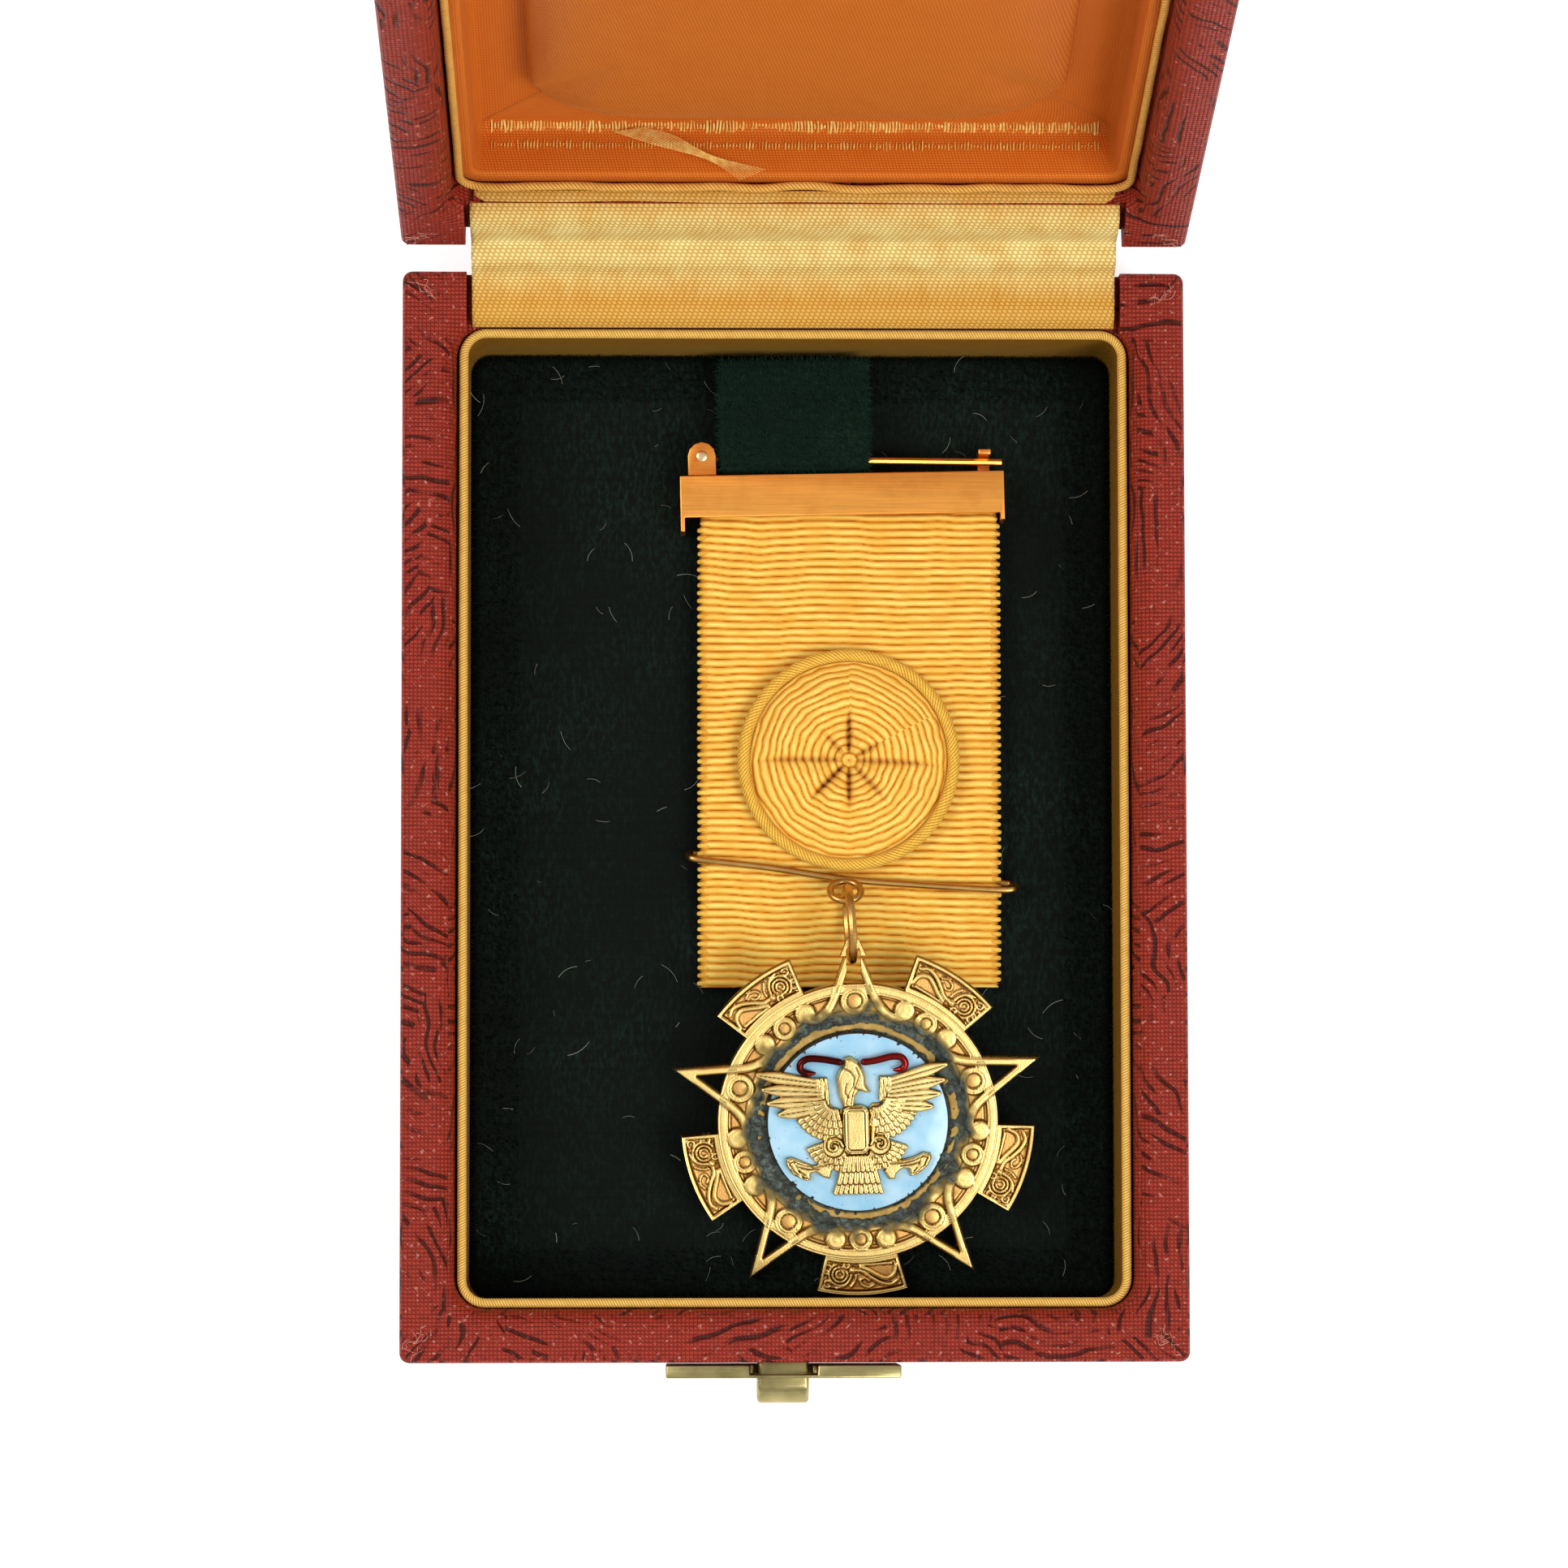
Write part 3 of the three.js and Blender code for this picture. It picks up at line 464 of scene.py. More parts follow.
def satinFinish(name, colour, deep, bright, tint, dash, lustre, band=None):
    # rows of short floats, each row shifted by half a float, with painted shade between the floats and a painted
    # highlight on them
    material = clothFinish(name, colour, 0.36, tint)
    tree = material.node_tree
    flat = place(tree, uv=True)
    u, v, _ = axes(tree, flat)
    row = sums(tree, "FLOOR", sums(tree, "DIVIDE", v, dash[1]))
    halfOn = plus(tree, u, times(tree, row, dash[0] * 0.5))
    shifted = plus(tree, halfOn, times(tree, v, 0.35))
    floats = times(tree, wave(tree, shifted, dash[0], 0.9), wave(tree, v, dash[1], 0.5))
    mottle = cloudy(tree, flat, 0.3, 3)
    pulled = cloudy(tree, stretch(tree, flat, (2.5, 0.12, 1)), 0.9, 3)
    shown = ramp(tree, mottle, 0.3, 0.7, 0.45, 1.0)
    if band:
        # painted highlight only in a band along the strip, with a ragged edge
        middle = sums(tree, "ABSOLUTE", sums(tree, "SUBTRACT", v, band[0]))
        ragged = plus(tree, middle, times(tree, pulled, 2.5))
        shown = times(tree, shown, ramp(tree, ragged, band[1], band[2], 1.0, 0.12), clamp=True)
    # painted shade: darker between the floats
    tone = blendColour(tree, ramp(tree, floats, 0.1, 0.75), deep, colour)
    tone = blendColour(tree, ramp(tree, pulled, 0.5, 0.8, 0, 0.35), tone, deep)
    # painted highlight: the floats pale towards the bright colour in mottled patches
    shine = times(tree, ramp(tree, floats, 0.4, 0.95), shown)
    tone = blendColour(tree, times(tree, shine, lustre), tone, bright)
    if band:
        tone = blendColour(tree, times(tree, shown, 0.34), tone, bright)
    wire(material, Base_Color=tone, Normal=raised(tree, floats, 0.08, 0.6),
         Roughness=ramp(tree, mottle, 0.3, 0.7, 0.32, 0.46))
    return material


def cordFinish(name, colour, deep, pitch, slant):
    # twisted threads: slanting hatch along the piece
    material = clothFinish(name, colour, 0.42, (1, 0.75, 0.3))
    tree = material.node_tree
    flat = place(tree, uv=True)
    u, v, _ = axes(tree, flat)
    hatch = wave(tree, plus(tree, u, times(tree, v, slant)), pitch, 0.7)
    mottle = cloudy(tree, flat, 0.8, 3)
    tone = blendColour(tree, ramp(tree, hatch, 0.1, 0.85), deep, colour)
    tone = blendColour(tree, ramp(tree, mottle, 0.45, 0.75, 0, 0.4), tone, deep)
    wire(material, Base_Color=tone, Normal=raised(tree, hatch, 0.12, 0.9))
    return material


def velvetFinish(name, dark, light):
    material = finishOf(name, dark, 0.95, Sheen_Weight=0.3, Sheen_Roughness=0.5, Specular_IOR_Level=0.08)
    material.node_tree.nodes["Principled BSDF"].inputs["Sheen Tint"].default_value = (*light, 1)
    tree = material.node_tree
    where = place(tree)
    nap = cloudy(tree, stretch(tree, where, (1, 0.4, 1)), 2.2, 4, 0.7)
    ribs = wave(tree, axes(tree, where)[1], 1.15, 0.5)
    crushed = cloudy(tree, where, 0.06, 3)
    standing = times(tree, ramp(tree, nap, 0.45, 0.8), ramp(tree, crushed, 0.4, 0.65, 0.2, 1))
    tone = blendColour(tree, standing, dark, light)
    # painted shade: darker bands between the ribs
    tone = blendColour(tree, times(tree, ramp(tree, ribs, 0.5, 0.1), 0.4), tone, tuple(c * 0.3 for c in dark))
    wire(material, Base_Color=tone, Normal=raised(tree, nap, 0.3, 0.8))
    return material


def metalFinish(name, colour, dark, roughness, grain=(0.3, 6, 1), soiled=0.5):
    material = finishOf(name, colour, roughness, 1.0)
    tree = material.node_tree
    where = place(tree)
    brushed = cloudy(tree, stretch(tree, where, grain), 1.2, 3)
    stain = cloudy(tree, where, 0.35, 4)
    tone = blendColour(tree, ramp(tree, stain, 0.48, 0.72, 0, soiled), colour, dark)
    wire(material, Base_Color=tone, Roughness=ramp(tree, brushed, 0.3, 0.7, roughness * 0.8, roughness * 1.25),
         Normal=raised(tree, brushed, 0.02, 0.5))
    return material


def marked(tree, name):
    return node(tree, "ShaderNodeAttribute", attribute_name=name).outputs["Fac"]


def threadFinish(name, colour, deep, roughness, patch=1.4, level=0.3):
    # single threads and hairs: each a little lighter or darker than the next
    material = finishOf(name, colour, roughness, Specular_IOR_Level=level)
    tree = material.node_tree
    shade = cloudy(tree, place(tree), patch, 3)
    wire(material, Base_Color=blendColour(tree, ramp(tree, shade, 0.35, 0.65), deep, colour),
         Roughness=ramp(tree, shade, 0.3, 0.7, roughness + 0.1, roughness - 0.05))
    return material


def silkFinish(name):
    # ribbed silk: a painted highlight, pale, on the crowns, painted shade, orange, between them, and brown painted
    # shade down in the creases
    material = clothFinish(name, (0.85, 0.47, 0.06), 0.4, (1, 0.8, 0.4), 0.15, 0.35)
    tree = material.node_tree
    flat = place(tree, uv=True)
    u, v, _ = axes(tree, flat)
    crown, crease = marked(tree, "crown"), marked(tree, "crease")
    fine = wave(tree, u, 0.24, 0.8)
    watered = cloudy(tree, stretch(tree, flat, (0.22, 0.5, 1)), 1.0, 3)
    slub = cloudy(tree, stretch(tree, flat, (0.6, 2.6, 1)), 1.0, 2)
    # painted highlight on the crowns, in watered patches
    lit = times(tree, ramp(tree, crown, 0.5, 0.95), ramp(tree, watered, 0.34, 0.62, 0.35, 1.0), clamp=True)
    lit = times(tree, lit, ramp(tree, slub, 0.3, 0.6, 0.6, 1.0))
    tone = blendColour(tree, ramp(tree, crown, 0.12, 0.62), (0.52, 0.165, 0.012), (0.84, 0.43, 0.045))
    tone = blendColour(tree, lit, tone, (0.95, 0.74, 0.19))
    tone = blendColour(tree, times(tree, ramp(tree, fine, 0.4, 0.0), 0.22), tone, (0.62, 0.27, 0.03))
    tone = blendColour(tree, ramp(tree, crease, 0.15, 0.6, 0, 0.55), tone, (0.42, 0.1, 0.012))
    tone = blendColour(tree, ramp(tree, crease, 0.5, 0.95, 0, 0.9), tone, (0.14, 0.025, 0.004))
    wire(material, Base_Color=tone, Normal=raised(tree, fine, 0.025, 0.4))
    return material


def reliefFinish(name, gold, copper, dark, roughness):
    # gilt relief: coppery in its fields, dark in its lines, with blue-green patina where the gilding is gone
    material = finishOf(name, gold, roughness, 1.0)
    tree = material.node_tree
    where = place(tree)
    stipple = cloudy(tree, where, 5.5, 2)
    stain = cloudy(tree, where, 0.5, 4)
    tone = blendColour(tree, ramp(tree, stain, 0.45, 0.7, 0, 0.4), gold, copper)
    tone = blendColour(tree, times(tree, marked(tree, "low"), 0.85), tone, copper)
    tone = blendColour(tree, ramp(tree, marked(tree, "hollow"), 0.05, 0.5, 0, 0.95), tone, dark)
    patina = marked(tree, "patina")
    crystals = cloudy(tree, where, 1.15, 6, 0.8)
    broad = cloudy(tree, where, 0.32, 2)
    crust = blendColour(tree, ramp(tree, crystals, 0.47, 0.64), (0.024, 0.025, 0.017), (0.14, 0.19, 0.16))
    crust = blendColour(tree, ramp(tree, broad, 0.42, 0.62, 0, 0.7), crust, (0.045, 0.055, 0.045))
    crust = blendColour(tree, ramp(tree, patina, 0.45, 0.95, 1, 0), crust, (0.3, 0.2, 0.04))
    covered = ramp(tree, plus(tree, patina, times(tree, stain, 0.3)), 0.25, 0.65)
    tone = blendColour(tree, covered, tone, crust)
    wire(material, Base_Color=tone, Metallic=ramp(tree, covered, 0, 1, 1, 0.15),
         Roughness=ramp(tree, plus(tree, times(tree, stipple, 0.15), covered), 0, 1, roughness, 0.75),
         Normal=raised(tree, plus(tree, times(tree, stipple, 0.5), times(tree, crystals, covered)), 0.07, 0.8))
    return material


def enamelFinish():
    material = finishOf("enamel", (0.42, 0.68, 0.84), 0.16, Coat_Weight=0.3, Coat_Roughness=0.05,
                        Specular_IOR_Level=0.4)
    tree = material.node_tree
    where = place(tree)
    pooled = cloudy(tree, where, 0.28, 2)
    speck = ramp(tree, cloudy(tree, where, 3.2, 2), 0.70, 0.74)
    tone = blendColour(tree, ramp(tree, pooled, 0.35, 0.7), (0.28, 0.56, 0.76), (0.46, 0.7, 0.84))
    tone = blendColour(tree, speck, tone, (0.1, 0.14, 0.16))
    tone = blendColour(tree, ramp(tree, marked(tree, "edge"), 0.3, 0.6), tone, (0.02, 0.02, 0.018))
    wire(material, Base_Color=tone, Normal=raised(tree, pooled, 0.12, 0.4))
    return material


leatherette = leatherFinish()
satinOrange = satinFinish("satinOrange", (0.68, 0.15, 0.012), (0.5, 0.09, 0.006), (0.92, 0.36, 0.07), (1, 0.55, 0.2),
                          (0.4, 0.34), 0.4)
# the hinge strip's satin, with a band of painted highlight along its middle
satinGold = satinFinish("satinGold", (0.7, 0.38, 0.05), (0.45, 0.16, 0.012), (0.95, 0.93, 0.42), (1, 0.8, 0.4),
                        (0.66, 0.44), 0.92, (12.0, 3.8, 9.8))
# the well's wall satin: a darker copy of the satin, painted shade for walls in shadow
shadedSatinWall = satinFinish("shadedSatinWall", (0.24, 0.1, 0.006), (0.13, 0.045, 0.002), (0.42, 0.2, 0.02), (0.8, 0.55, 0.15),
                        (0.4, 0.34), 0.4)
# the pillow's satin: the tray's orange made darker, as painted shade
shadedSatinPad = satinFinish("shadedSatinPad", (0.56, 0.125, 0.009), (0.4, 0.075, 0.005), (0.8, 0.31, 0.05), (1, 0.55, 0.2),
                       (0.4, 0.34), 0.4)
strokeSilk = threadFinish("strokeSilk", (0.95, 0.7, 0.2), (0.8, 0.42, 0.07), 0.34)
loopSilk = threadFinish("loopSilk", (0.93, 0.62, 0.11), (0.74, 0.36, 0.035), 0.4, 0.9)
pipingFinish = cordFinish("piping", (0.88, 0.55, 0.13), (0.55, 0.24, 0.035), 0.34, 0.4)
cordSilk = cordFinish("cordSilk", (0.9, 0.54, 0.08), (0.6, 0.26, 0.022), 0.5, 0.9)
weltFinish = cordFinish("welt", (0.84, 0.46, 0.1), (0.5, 0.15, 0.015), 0.5, 0.7)
velvetDark = velvetFinish("velvetDark", (0.0045, 0.006, 0.005), (0.012, 0.03, 0.02))
velvetGreen = velvetFinish("velvetGreen", (0.005, 0.014, 0.009), (0.018, 0.05, 0.032))
pileGreen = threadFinish("pileGreen", (0.013, 0.042, 0.026), (0.005, 0.018, 0.011), 0.85, level=0.08)
pileDark = threadFinish("pileDark", (0.006, 0.011, 0.008), (0.003, 0.006, 0.005), 0.9, level=0.06)
lint = threadFinish("lint", (0.4, 0.42, 0.34), (0.22, 0.25, 0.2), 0.6, 0.3)
redFibre = threadFinish("redFibre", (0.68, 0.3, 0.22), (0.4, 0.09, 0.06), 0.5)
foldDark = threadFinish("foldDark", (0.07, 0.008, 0.005), (0.03, 0.004, 0.003), 0.6)
brass = metalFinish("brass", (0.42, 0.35, 0.15), (0.16, 0.13, 0.05), 0.3)
copperGilt = metalFinish("copperGilt", (0.97, 0.42, 0.08), (0.7, 0.26, 0.04), 0.36, (0.1, 8, 1), 0.35)
paleGilt = metalFinish("paleGilt", (0.95, 0.72, 0.4), (0.6, 0.35, 0.12), 0.25)
wireGilt = metalFinish("wireGilt", (0.62, 0.35, 0.1), (0.3, 0.15, 0.04), 0.3)
silk = silkFinish("silk")
giltRelief = reliefFinish("giltRelief", (0.88, 0.65, 0.23), (0.72, 0.36, 0.1), (0.13, 0.06, 0.012), 0.36)
giltEagle = reliefFinish("giltEagle", (0.87, 0.65, 0.25), (0.72, 0.42, 0.12), (0.1, 0.05, 0.01), 0.3)
enamel = enamelFinish()
darkRed = metalFinish("darkRed", (0.085, 0.008, 0.007), (0.02, 0.003, 0.003), 0.22)
brightRed = metalFinish("brightRed", (0.24, 0.014, 0.012), (0.05, 0.005, 0.005), 0.22)
print("finishes made")


# Geometry Nodes: small things scattered on a surface

def emptyTree(name, sizes):
    # geometry in and out, and a named input for each size
    tree = bpy.data.node_groups.new(name, "GeometryNodeTree")
    for way in ("OUTPUT", "INPUT"):
        tree.interface.new_socket("Geometry", in_out=way, socket_type="NodeSocketGeometry")
    sockets = {}
    for label, value in sizes.items():
        made = tree.interface.new_socket(label, in_out="INPUT", socket_type="NodeSocketFloat")
        made.default_value, sockets[label] = value, made.identifier
    return tree, sockets, tree.nodes.new("NodeGroupInput")


def grown(name, mesh, tree, sockets, sizes, placing, finish):
    # the mesh carries the modifier, and only what grows on it is kept
    placed = node(tree, "GeometryNodeInstanceOnPoints", placing).outputs[0]
    real = node(tree, "GeometryNodeRealizeInstances", {0: placed}).outputs[0]
    coat = node(tree, "GeometryNodeSetMaterial", {"Geometry": real, "Material": finish}).outputs[0]
    node(tree, "NodeGroupOutput", {0: coat})
    thing = bpy.data.objects.new(name, mesh)
    scene.collection.objects.link(thing)
    modifier = thing.modifiers.new("grown", "NODES")
    modifier.node_group = tree
    for label, value in sizes.items():
        modifier[sockets[label]] = value
    return bake(thing)


def randomVector(tree, low, high, seed):
    return node(tree, "FunctionNodeRandomValue", {0: low, 1: high, "Seed": seed}, data_type="FLOAT_VECTOR").outputs[0]


def scattered(name, surface, finish, sizes, seed, buildOne):
    tree, sockets, entry = emptyTree(name, sizes)
    spread = {"Mesh": entry.outputs["Geometry"], "Density": entry.outputs["Density"], "Seed": seed}
    points = node(tree, "GeometryNodeDistributePointsOnFaces", spread).outputs
    lean = randomVector(tree, (-0.5, -0.5, 0), (0.5, 0.5, 6.28), seed + 1)
    turned = node(tree, "FunctionNodeRotateRotation", {0: points["Rotation"], 1: lean},
                  rotation_space="LOCAL").outputs[0]
    size = node(tree, "FunctionNodeRandomValue", {2: 0.45, 3: 1.5, "Seed": seed + 2}, data_type="FLOAT").outputs[1]
    placing = {"Points": points["Points"], "Instance": buildOne(tree, entry), "Rotation": turned, "Scale": size}
    return grown(name, surface.copy(), tree, sockets, sizes, placing, finish)


def pileHair(tree, entry):
    sizes = {"Vertices": 3, "Side Segments": 1, "Radius Top": 0.0, "Radius Bottom": entry.outputs["Radius"],
             "Depth": entry.outputs["Length"]}
    return node(tree, "GeometryNodeMeshCone", sizes, fill_type="NONE").outputs["Mesh"]


def lintFibre(tree, entry):
    length = entry.outputs["Length"]
    middle = node(tree, "ShaderNodeCombineXYZ", {0: times(tree, length, 0.5), 1: times(tree, length, 0.22),
                                                 2: times(tree, length, 0.12)}).outputs[0]
    end = node(tree, "ShaderNodeCombineXYZ", {0: length, 1: 0.0, 2: 0.0}).outputs[0]
    curve = node(tree, "GeometryNodeCurveQuadraticBezier",
                 {"Resolution": 5, "Start": (0, 0, 0.00005), "Middle": middle, "End": end}).outputs[0]
    ring = node(tree, "GeometryNodeCurvePrimitiveCircle", {"Resolution": 3, "Radius": entry.outputs["Radius"]},
                mode="RADIUS").outputs[0]
    return node(tree, "GeometryNodeCurveToMesh", {"Curve": curve, "Profile Curve": ring}).outputs[0]


def surfaceMesh(rows):
    mesh = bpy.data.meshes.new("surface")
    mesh.from_pydata((rows.reshape(-1, 3) * mm).tolist(), [], gridFaces(*rows.shape[:2]))
    return mesh


def strandsPiece(name, lines, radius, finish, matrix=None, sides=4, steps=14, taper=0.5, up=(0.2, 0.3, 1)):
    points, faces, count = [], [], 0
    for line in lines:
        rows = tubeRows(smoothPath(line, steps), radius * np.linspace(1, taper, steps), sides, up=up)
        points.append(rows.reshape(-1, 3))
        faces += [[i + count for i in f] for f in gridFaces(steps, sides + 1)]
        faces += [[count + row * (sides + 1) + i for i in range(sides)] for row in (0, steps - 1)]
        count += steps * (sides + 1)
    thing = meshPiece(name, np.concatenate(points), faces, finish)
    return moved(thing, matrix) if matrix is not None else thing


# The case: base and lid are the same box, one of them hung upside down.

case = {"half": (48.5, 67.5), "base": 22.0, "lid": 16.0, "board": 2.5, "corner": 1.2, "edge": 0.7,
        "wellCorner": 3.8, "well": (41.9, 61.1), "bevelDepth": 2.7, "rebateHalf": 40.6}
openAngle = 105
axisAt = Vector((0, 69.42, 22.15))
lidOpen = (Matrix.Translation(axisAt * mm) @ Matrix.Rotation(radians(-openAngle), 4, "X")
           @ Matrix.Translation(Vector((0, -69.42, 0.15)) * mm))


def rimHeight(height, inset):
    # the rim is padded: nearly flat outside, then one soft roll down into the well
    share = max(0, (inset - 2.6) / (case["half"][0] - case["well"][0] - 2.6))
    return height - case["bevelDepth"] * (1 - sqrt(max(0, 1 - share ** 2.6)))


def shellProfile(height, rim):
    # from the middle of the closed side, round the outside and over the rim into the well
    hx, hy = case["half"]
    e, wx, wy = case["edge"], *case["well"]
    flip = lambda z: z if rim > 0 else height - z
    rows = [(hx - s, hy - s, case["corner"] - s, 0) for s in (46, 30, 14, 4, 1.4)]
    rows += [(hx - e + x, hy - e + x, case["corner"] - e + x, z) for x, z in arcProfile((0, e), e, -90, 0, 4)]
    rows += [(hx, hy, case["corner"], z) for z in np.linspace(e, height - e, 8)[1:-1]]
    rows += [(hx - e + x, hy - e + x, case["corner"] - e + x, z) for x, z in arcProfile((0, height - e), e, 0, 90, 4)]
    width = hx - wx
    for inset in (1.6, 2.4, 3.2, 3.9, 4.5, 5.0, 5.4, 5.8, 6.1, 6.35, 6.5, width):
        corner = case["wellCorner"] + (width - inset) * 0.55 if inset > 3 else 0.6 + inset * 0.7
        rows.append((hx - inset, hy - inset, corner, rimHeight(height, inset)))
    floor = case["board"]
    rows += [(wx, wy, case["wellCorner"], z) for z in (height - case["bevelDepth"] - 3, floor)]
    rows += [(wx - s, wy - s, max(case["wellCorner"] - s, 0.5), floor) for s in (8, 39)]
    return [(a, b, c, flip(z)) for a, b, c, z in rows]


def shellPiece(name, height, rim):
    rows, _ = ringRows(shellProfile(height, rim), 5, (30, 42))
    return gridPiece(name, rows, leatherette, caps=(0, -1), sharp=50)


base = shellPiece("caseBaseLeather", case["base"], 1)
rebateLow = case["base"] - case["bevelDepth"]
cutAway(base, [((-case["rebateHalf"], 60, rebateLow), (case["rebateHalf"], 69, 24)),
               ((-5.05, -70, 13.2), (2.15, -63.4, 18.8))])
attach(boxUv(base), "base", "leatherette", "case_base")
lid = shellPiece("lidLeather", case["lid"], -1)
cutAway(lid, [((-case["rebateHalf"], 60, -1), (case["rebateHalf"], 69, case["bevelDepth"]))])
moved(boxUv(lid), lidOpen)
attach(lid, "lid", "leatherette", "lid_shell")
mitre = {"seam": 0.12, "fibre": 0.06, "fibres": 9, "spread": 0.6, "insets": (0.7, 1.8, 3, 4.1, 5.1, 5.8)}


def mitreLines(height, rim, seed):
    seams, fibres = [], []
    draw = np.random.default_rng(seed)
    for sx in (-1, 1):
        for sy in (-1, 1):
            def spot(inset, side, lift):
                z = rimHeight(height, inset) + lift
                x, y = sx * (case["half"][0] - inset - side), sy * (case["half"][1] - inset + side)
                return (x, y, z if rim > 0 else height - z)
            wavering = [(i, 0.25 * noise.noise(Vector((i * 0.6, sx * 3 + seed, sy * 5)))) for i in mitre["insets"]]
            seams.append([spot(inset, side, 0.0) for inset, side in wavering])
            for _ in range(mitre["fibres"]):
                start, off = draw.uniform(0.8, 4.2), draw.normal(0, mitre["spread"] * 0.5)
                turns = draw.normal(0, mitre["spread"], 4) * 0.5 + off
                fibres.append([spot(start + k * draw.uniform(0.3, 0.55), turns[k], 0.05) for k in range(4)])
    return seams, fibres


for body, rim, seed, matrix in (("base", 1, 3, None), ("lid", -1, 4, lidOpen)):
    seams, fibres = mitreLines(case[body], rim, seed)
    attach(strandsPiece(body + "Mitres", seams, mitre["seam"], foldDark, matrix, taper=0.8), body, "leatherette")
    attach(strandsPiece(body + "Fibres", fibres, mitre["fibre"], redFibre, matrix), body, "leatherette")
print("case made")

# The well: satin walls, gold piping, velvet bed.

wellEdge = (41.6, 60.8)
wellCorner = 3.5


def insetRing(inset, z):
    return (wellEdge[0] - inset, wellEdge[1] - inset, max(wellCorner - inset, 0.3), z)


rows, uv = ringRows([insetRing(0, 2.8), insetRing(0, 17.9), insetRing(0.15, 18.1), insetRing(0.85, 18.1),
                     insetRing(1, 17.9),
                     insetRing(1, 12), insetRing(1, 7), insetRing(1, 2.8), insetRing(0, 2.8)], 8, (60, 84))
lining = gridPiece("wellSatin", rows, shadedSatinWall, uv)
attach(lining, "base", "satin", "well_lining")


def trimPath(radius, z, wobble, seed):
    loop = roundedLoop(wellEdge[0] - radius, wellEdge[1] - radius, wellCorner - radius, 10, (90, 130))
    path = np.column_stack([loop, np.full(len(loop), z)])
    for i, p in enumerate(path[:-1]):
        path[i, 2] += wobble * noise.noise(Vector((p[0] * 0.16, p[1] * 0.16, seed)))
    path[-1] = path[0]
    return path


cordTrim = {"inset": 0.6, "height": 19.0, "wobble": 0.12, "radius": 0.58}
pipingPath = trimPath(cordTrim["inset"], cordTrim["height"], cordTrim["wobble"], 3.1)
piping = tubePiece("wellPiping", pipingPath, cordTrim["radius"], pipingFinish, 14, closed=True)
attach(piping, "base", "piping", "well_piping")

bed = {"inset": 1.3, "top": 7.5, "round": 1.3}
bedRows = [insetRing(bed["inset"] + 20, 2.8), insetRing(bed["inset"], 2.8), insetRing(bed["inset"], 5.2)]
for x, z in arcProfile((0, 0), bed["round"], 0, 90, 6):
    bedRows.append(insetRing(bed["inset"] + bed["round"] - x, bed["top"] - bed["round"] + z))
bedRows += [insetRing(bed["inset"] + s, bed["top"]) for s in (2, 3.5, 6, 9, 13, 17, 22, 27, 32, 36, 38.5)]
rows, uv = ringRows(bedRows, 6, (60, 84))
for point in rows.reshape(-1, 3):
    if point[2] > 6.5:
        point[2] += 0.22 * noise.noise(Vector((point[0] * 0.09, point[1] * 0.09, 5))) - 0.1
rows[:, -1] = rows[:, 0]
velvet = gridPiece("velvetBed", rows, velvetDark, uv, caps=(0, -1))
attach(velvet, "base", "velvet", "velvet_bed")
edgeRows = rows[3:12]  # the board's rounded edge
bedPile = scattered("bedPile", surfaceMesh(edgeRows), pileDark,
                    {"Density": 7.0e6, "Radius": 0.00006, "Length": 0.0007}, 11, pileHair)
attach(bedPile, "base", "velvet")
bedTop = np.array([[(x, y, 7.55) for x in (-39.5, 39.5)] for y in (-58.5, 58.5)])
bedLint = scattered("bedLint", surfaceMesh(bedTop), lint, {"Density": 1.9e4, "Radius": 0.000026, "Length": 0.0022},
                    23, lintFibre)
attach(bedLint, "base", "velvet")
print("well made")

# The hinge: brass leaves with the satin strip over them.

for nodeName in ("hinge_base_leaf", "hinge_lid_leaf", "hinge_pin"):
    softened(nodeName, nodeName.replace("_", "-") + "-brass", 0.12, brass, "hinge_brass")

hinge = {"half": 39.9, "thickness": 0.35, "columns": 120}


def lidYz(y, z):
    # a point of the shut lid, turned to where the open lid has it
    c, s = -0.25882, 0.96593
    dy, dz = y - axisAt.y, z + 0.15
    return (axisAt.y + c * dy + s * dz, axisAt.z - s * dy + c * dz)


stripLine = [(60.95, 19.75), (61.25, 20.2), (61.9, 20.85), (63.0, 21.3), (64.6, 21.35), (66.4, 21.5), (67.4, 22.2),
             (68.1, 23.35), (69.2, 24.05), (70.7, 24.25)]
onLid = ((66.0, 0.75), (64.6, 0.6), (63.2, 0.75), (62.0, 1.3), (61.3, 2.3), (60.98, 3.4), (60.95, 4.4))
stripLine += [lidYz(*p) for p in onLid]
line = smoothPath(stripLine, 90)
across = np.linspace(-hinge["half"], hinge["half"], hinge["columns"])
strip = np.zeros((len(line), len(across), 3))
slope = np.gradient(line, axis=0)
slope /= np.linalg.norm(slope, axis=1)[:, None]
out = np.stack([-slope[:, 1], slope[:, 0]], axis=1)
for i, (y, z) in enumerate(line):
    free = sin(pi * i / (len(line) - 1)) ** 0.7
    for j, x in enumerate(across):
        lift = 0.22 * free * noise.noise(Vector((x * 0.07, i * 0.05, 2)))
        strip[i, j] = (x, y + out[i, 0] * lift, z + out[i, 1] * lift)
uv = flatUv(lengthsAlong(line), across)
hingeCloth = gridPiece("hingeSatin", strip, satinGold, uv, closed=False)
thickened(hingeCloth, hinge["thickness"])
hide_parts("hinge_satin_base", "hinge_satin_lid")
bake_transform(hingeCloth)
print("hinge made")

# The lid's satin tray and its pillow.

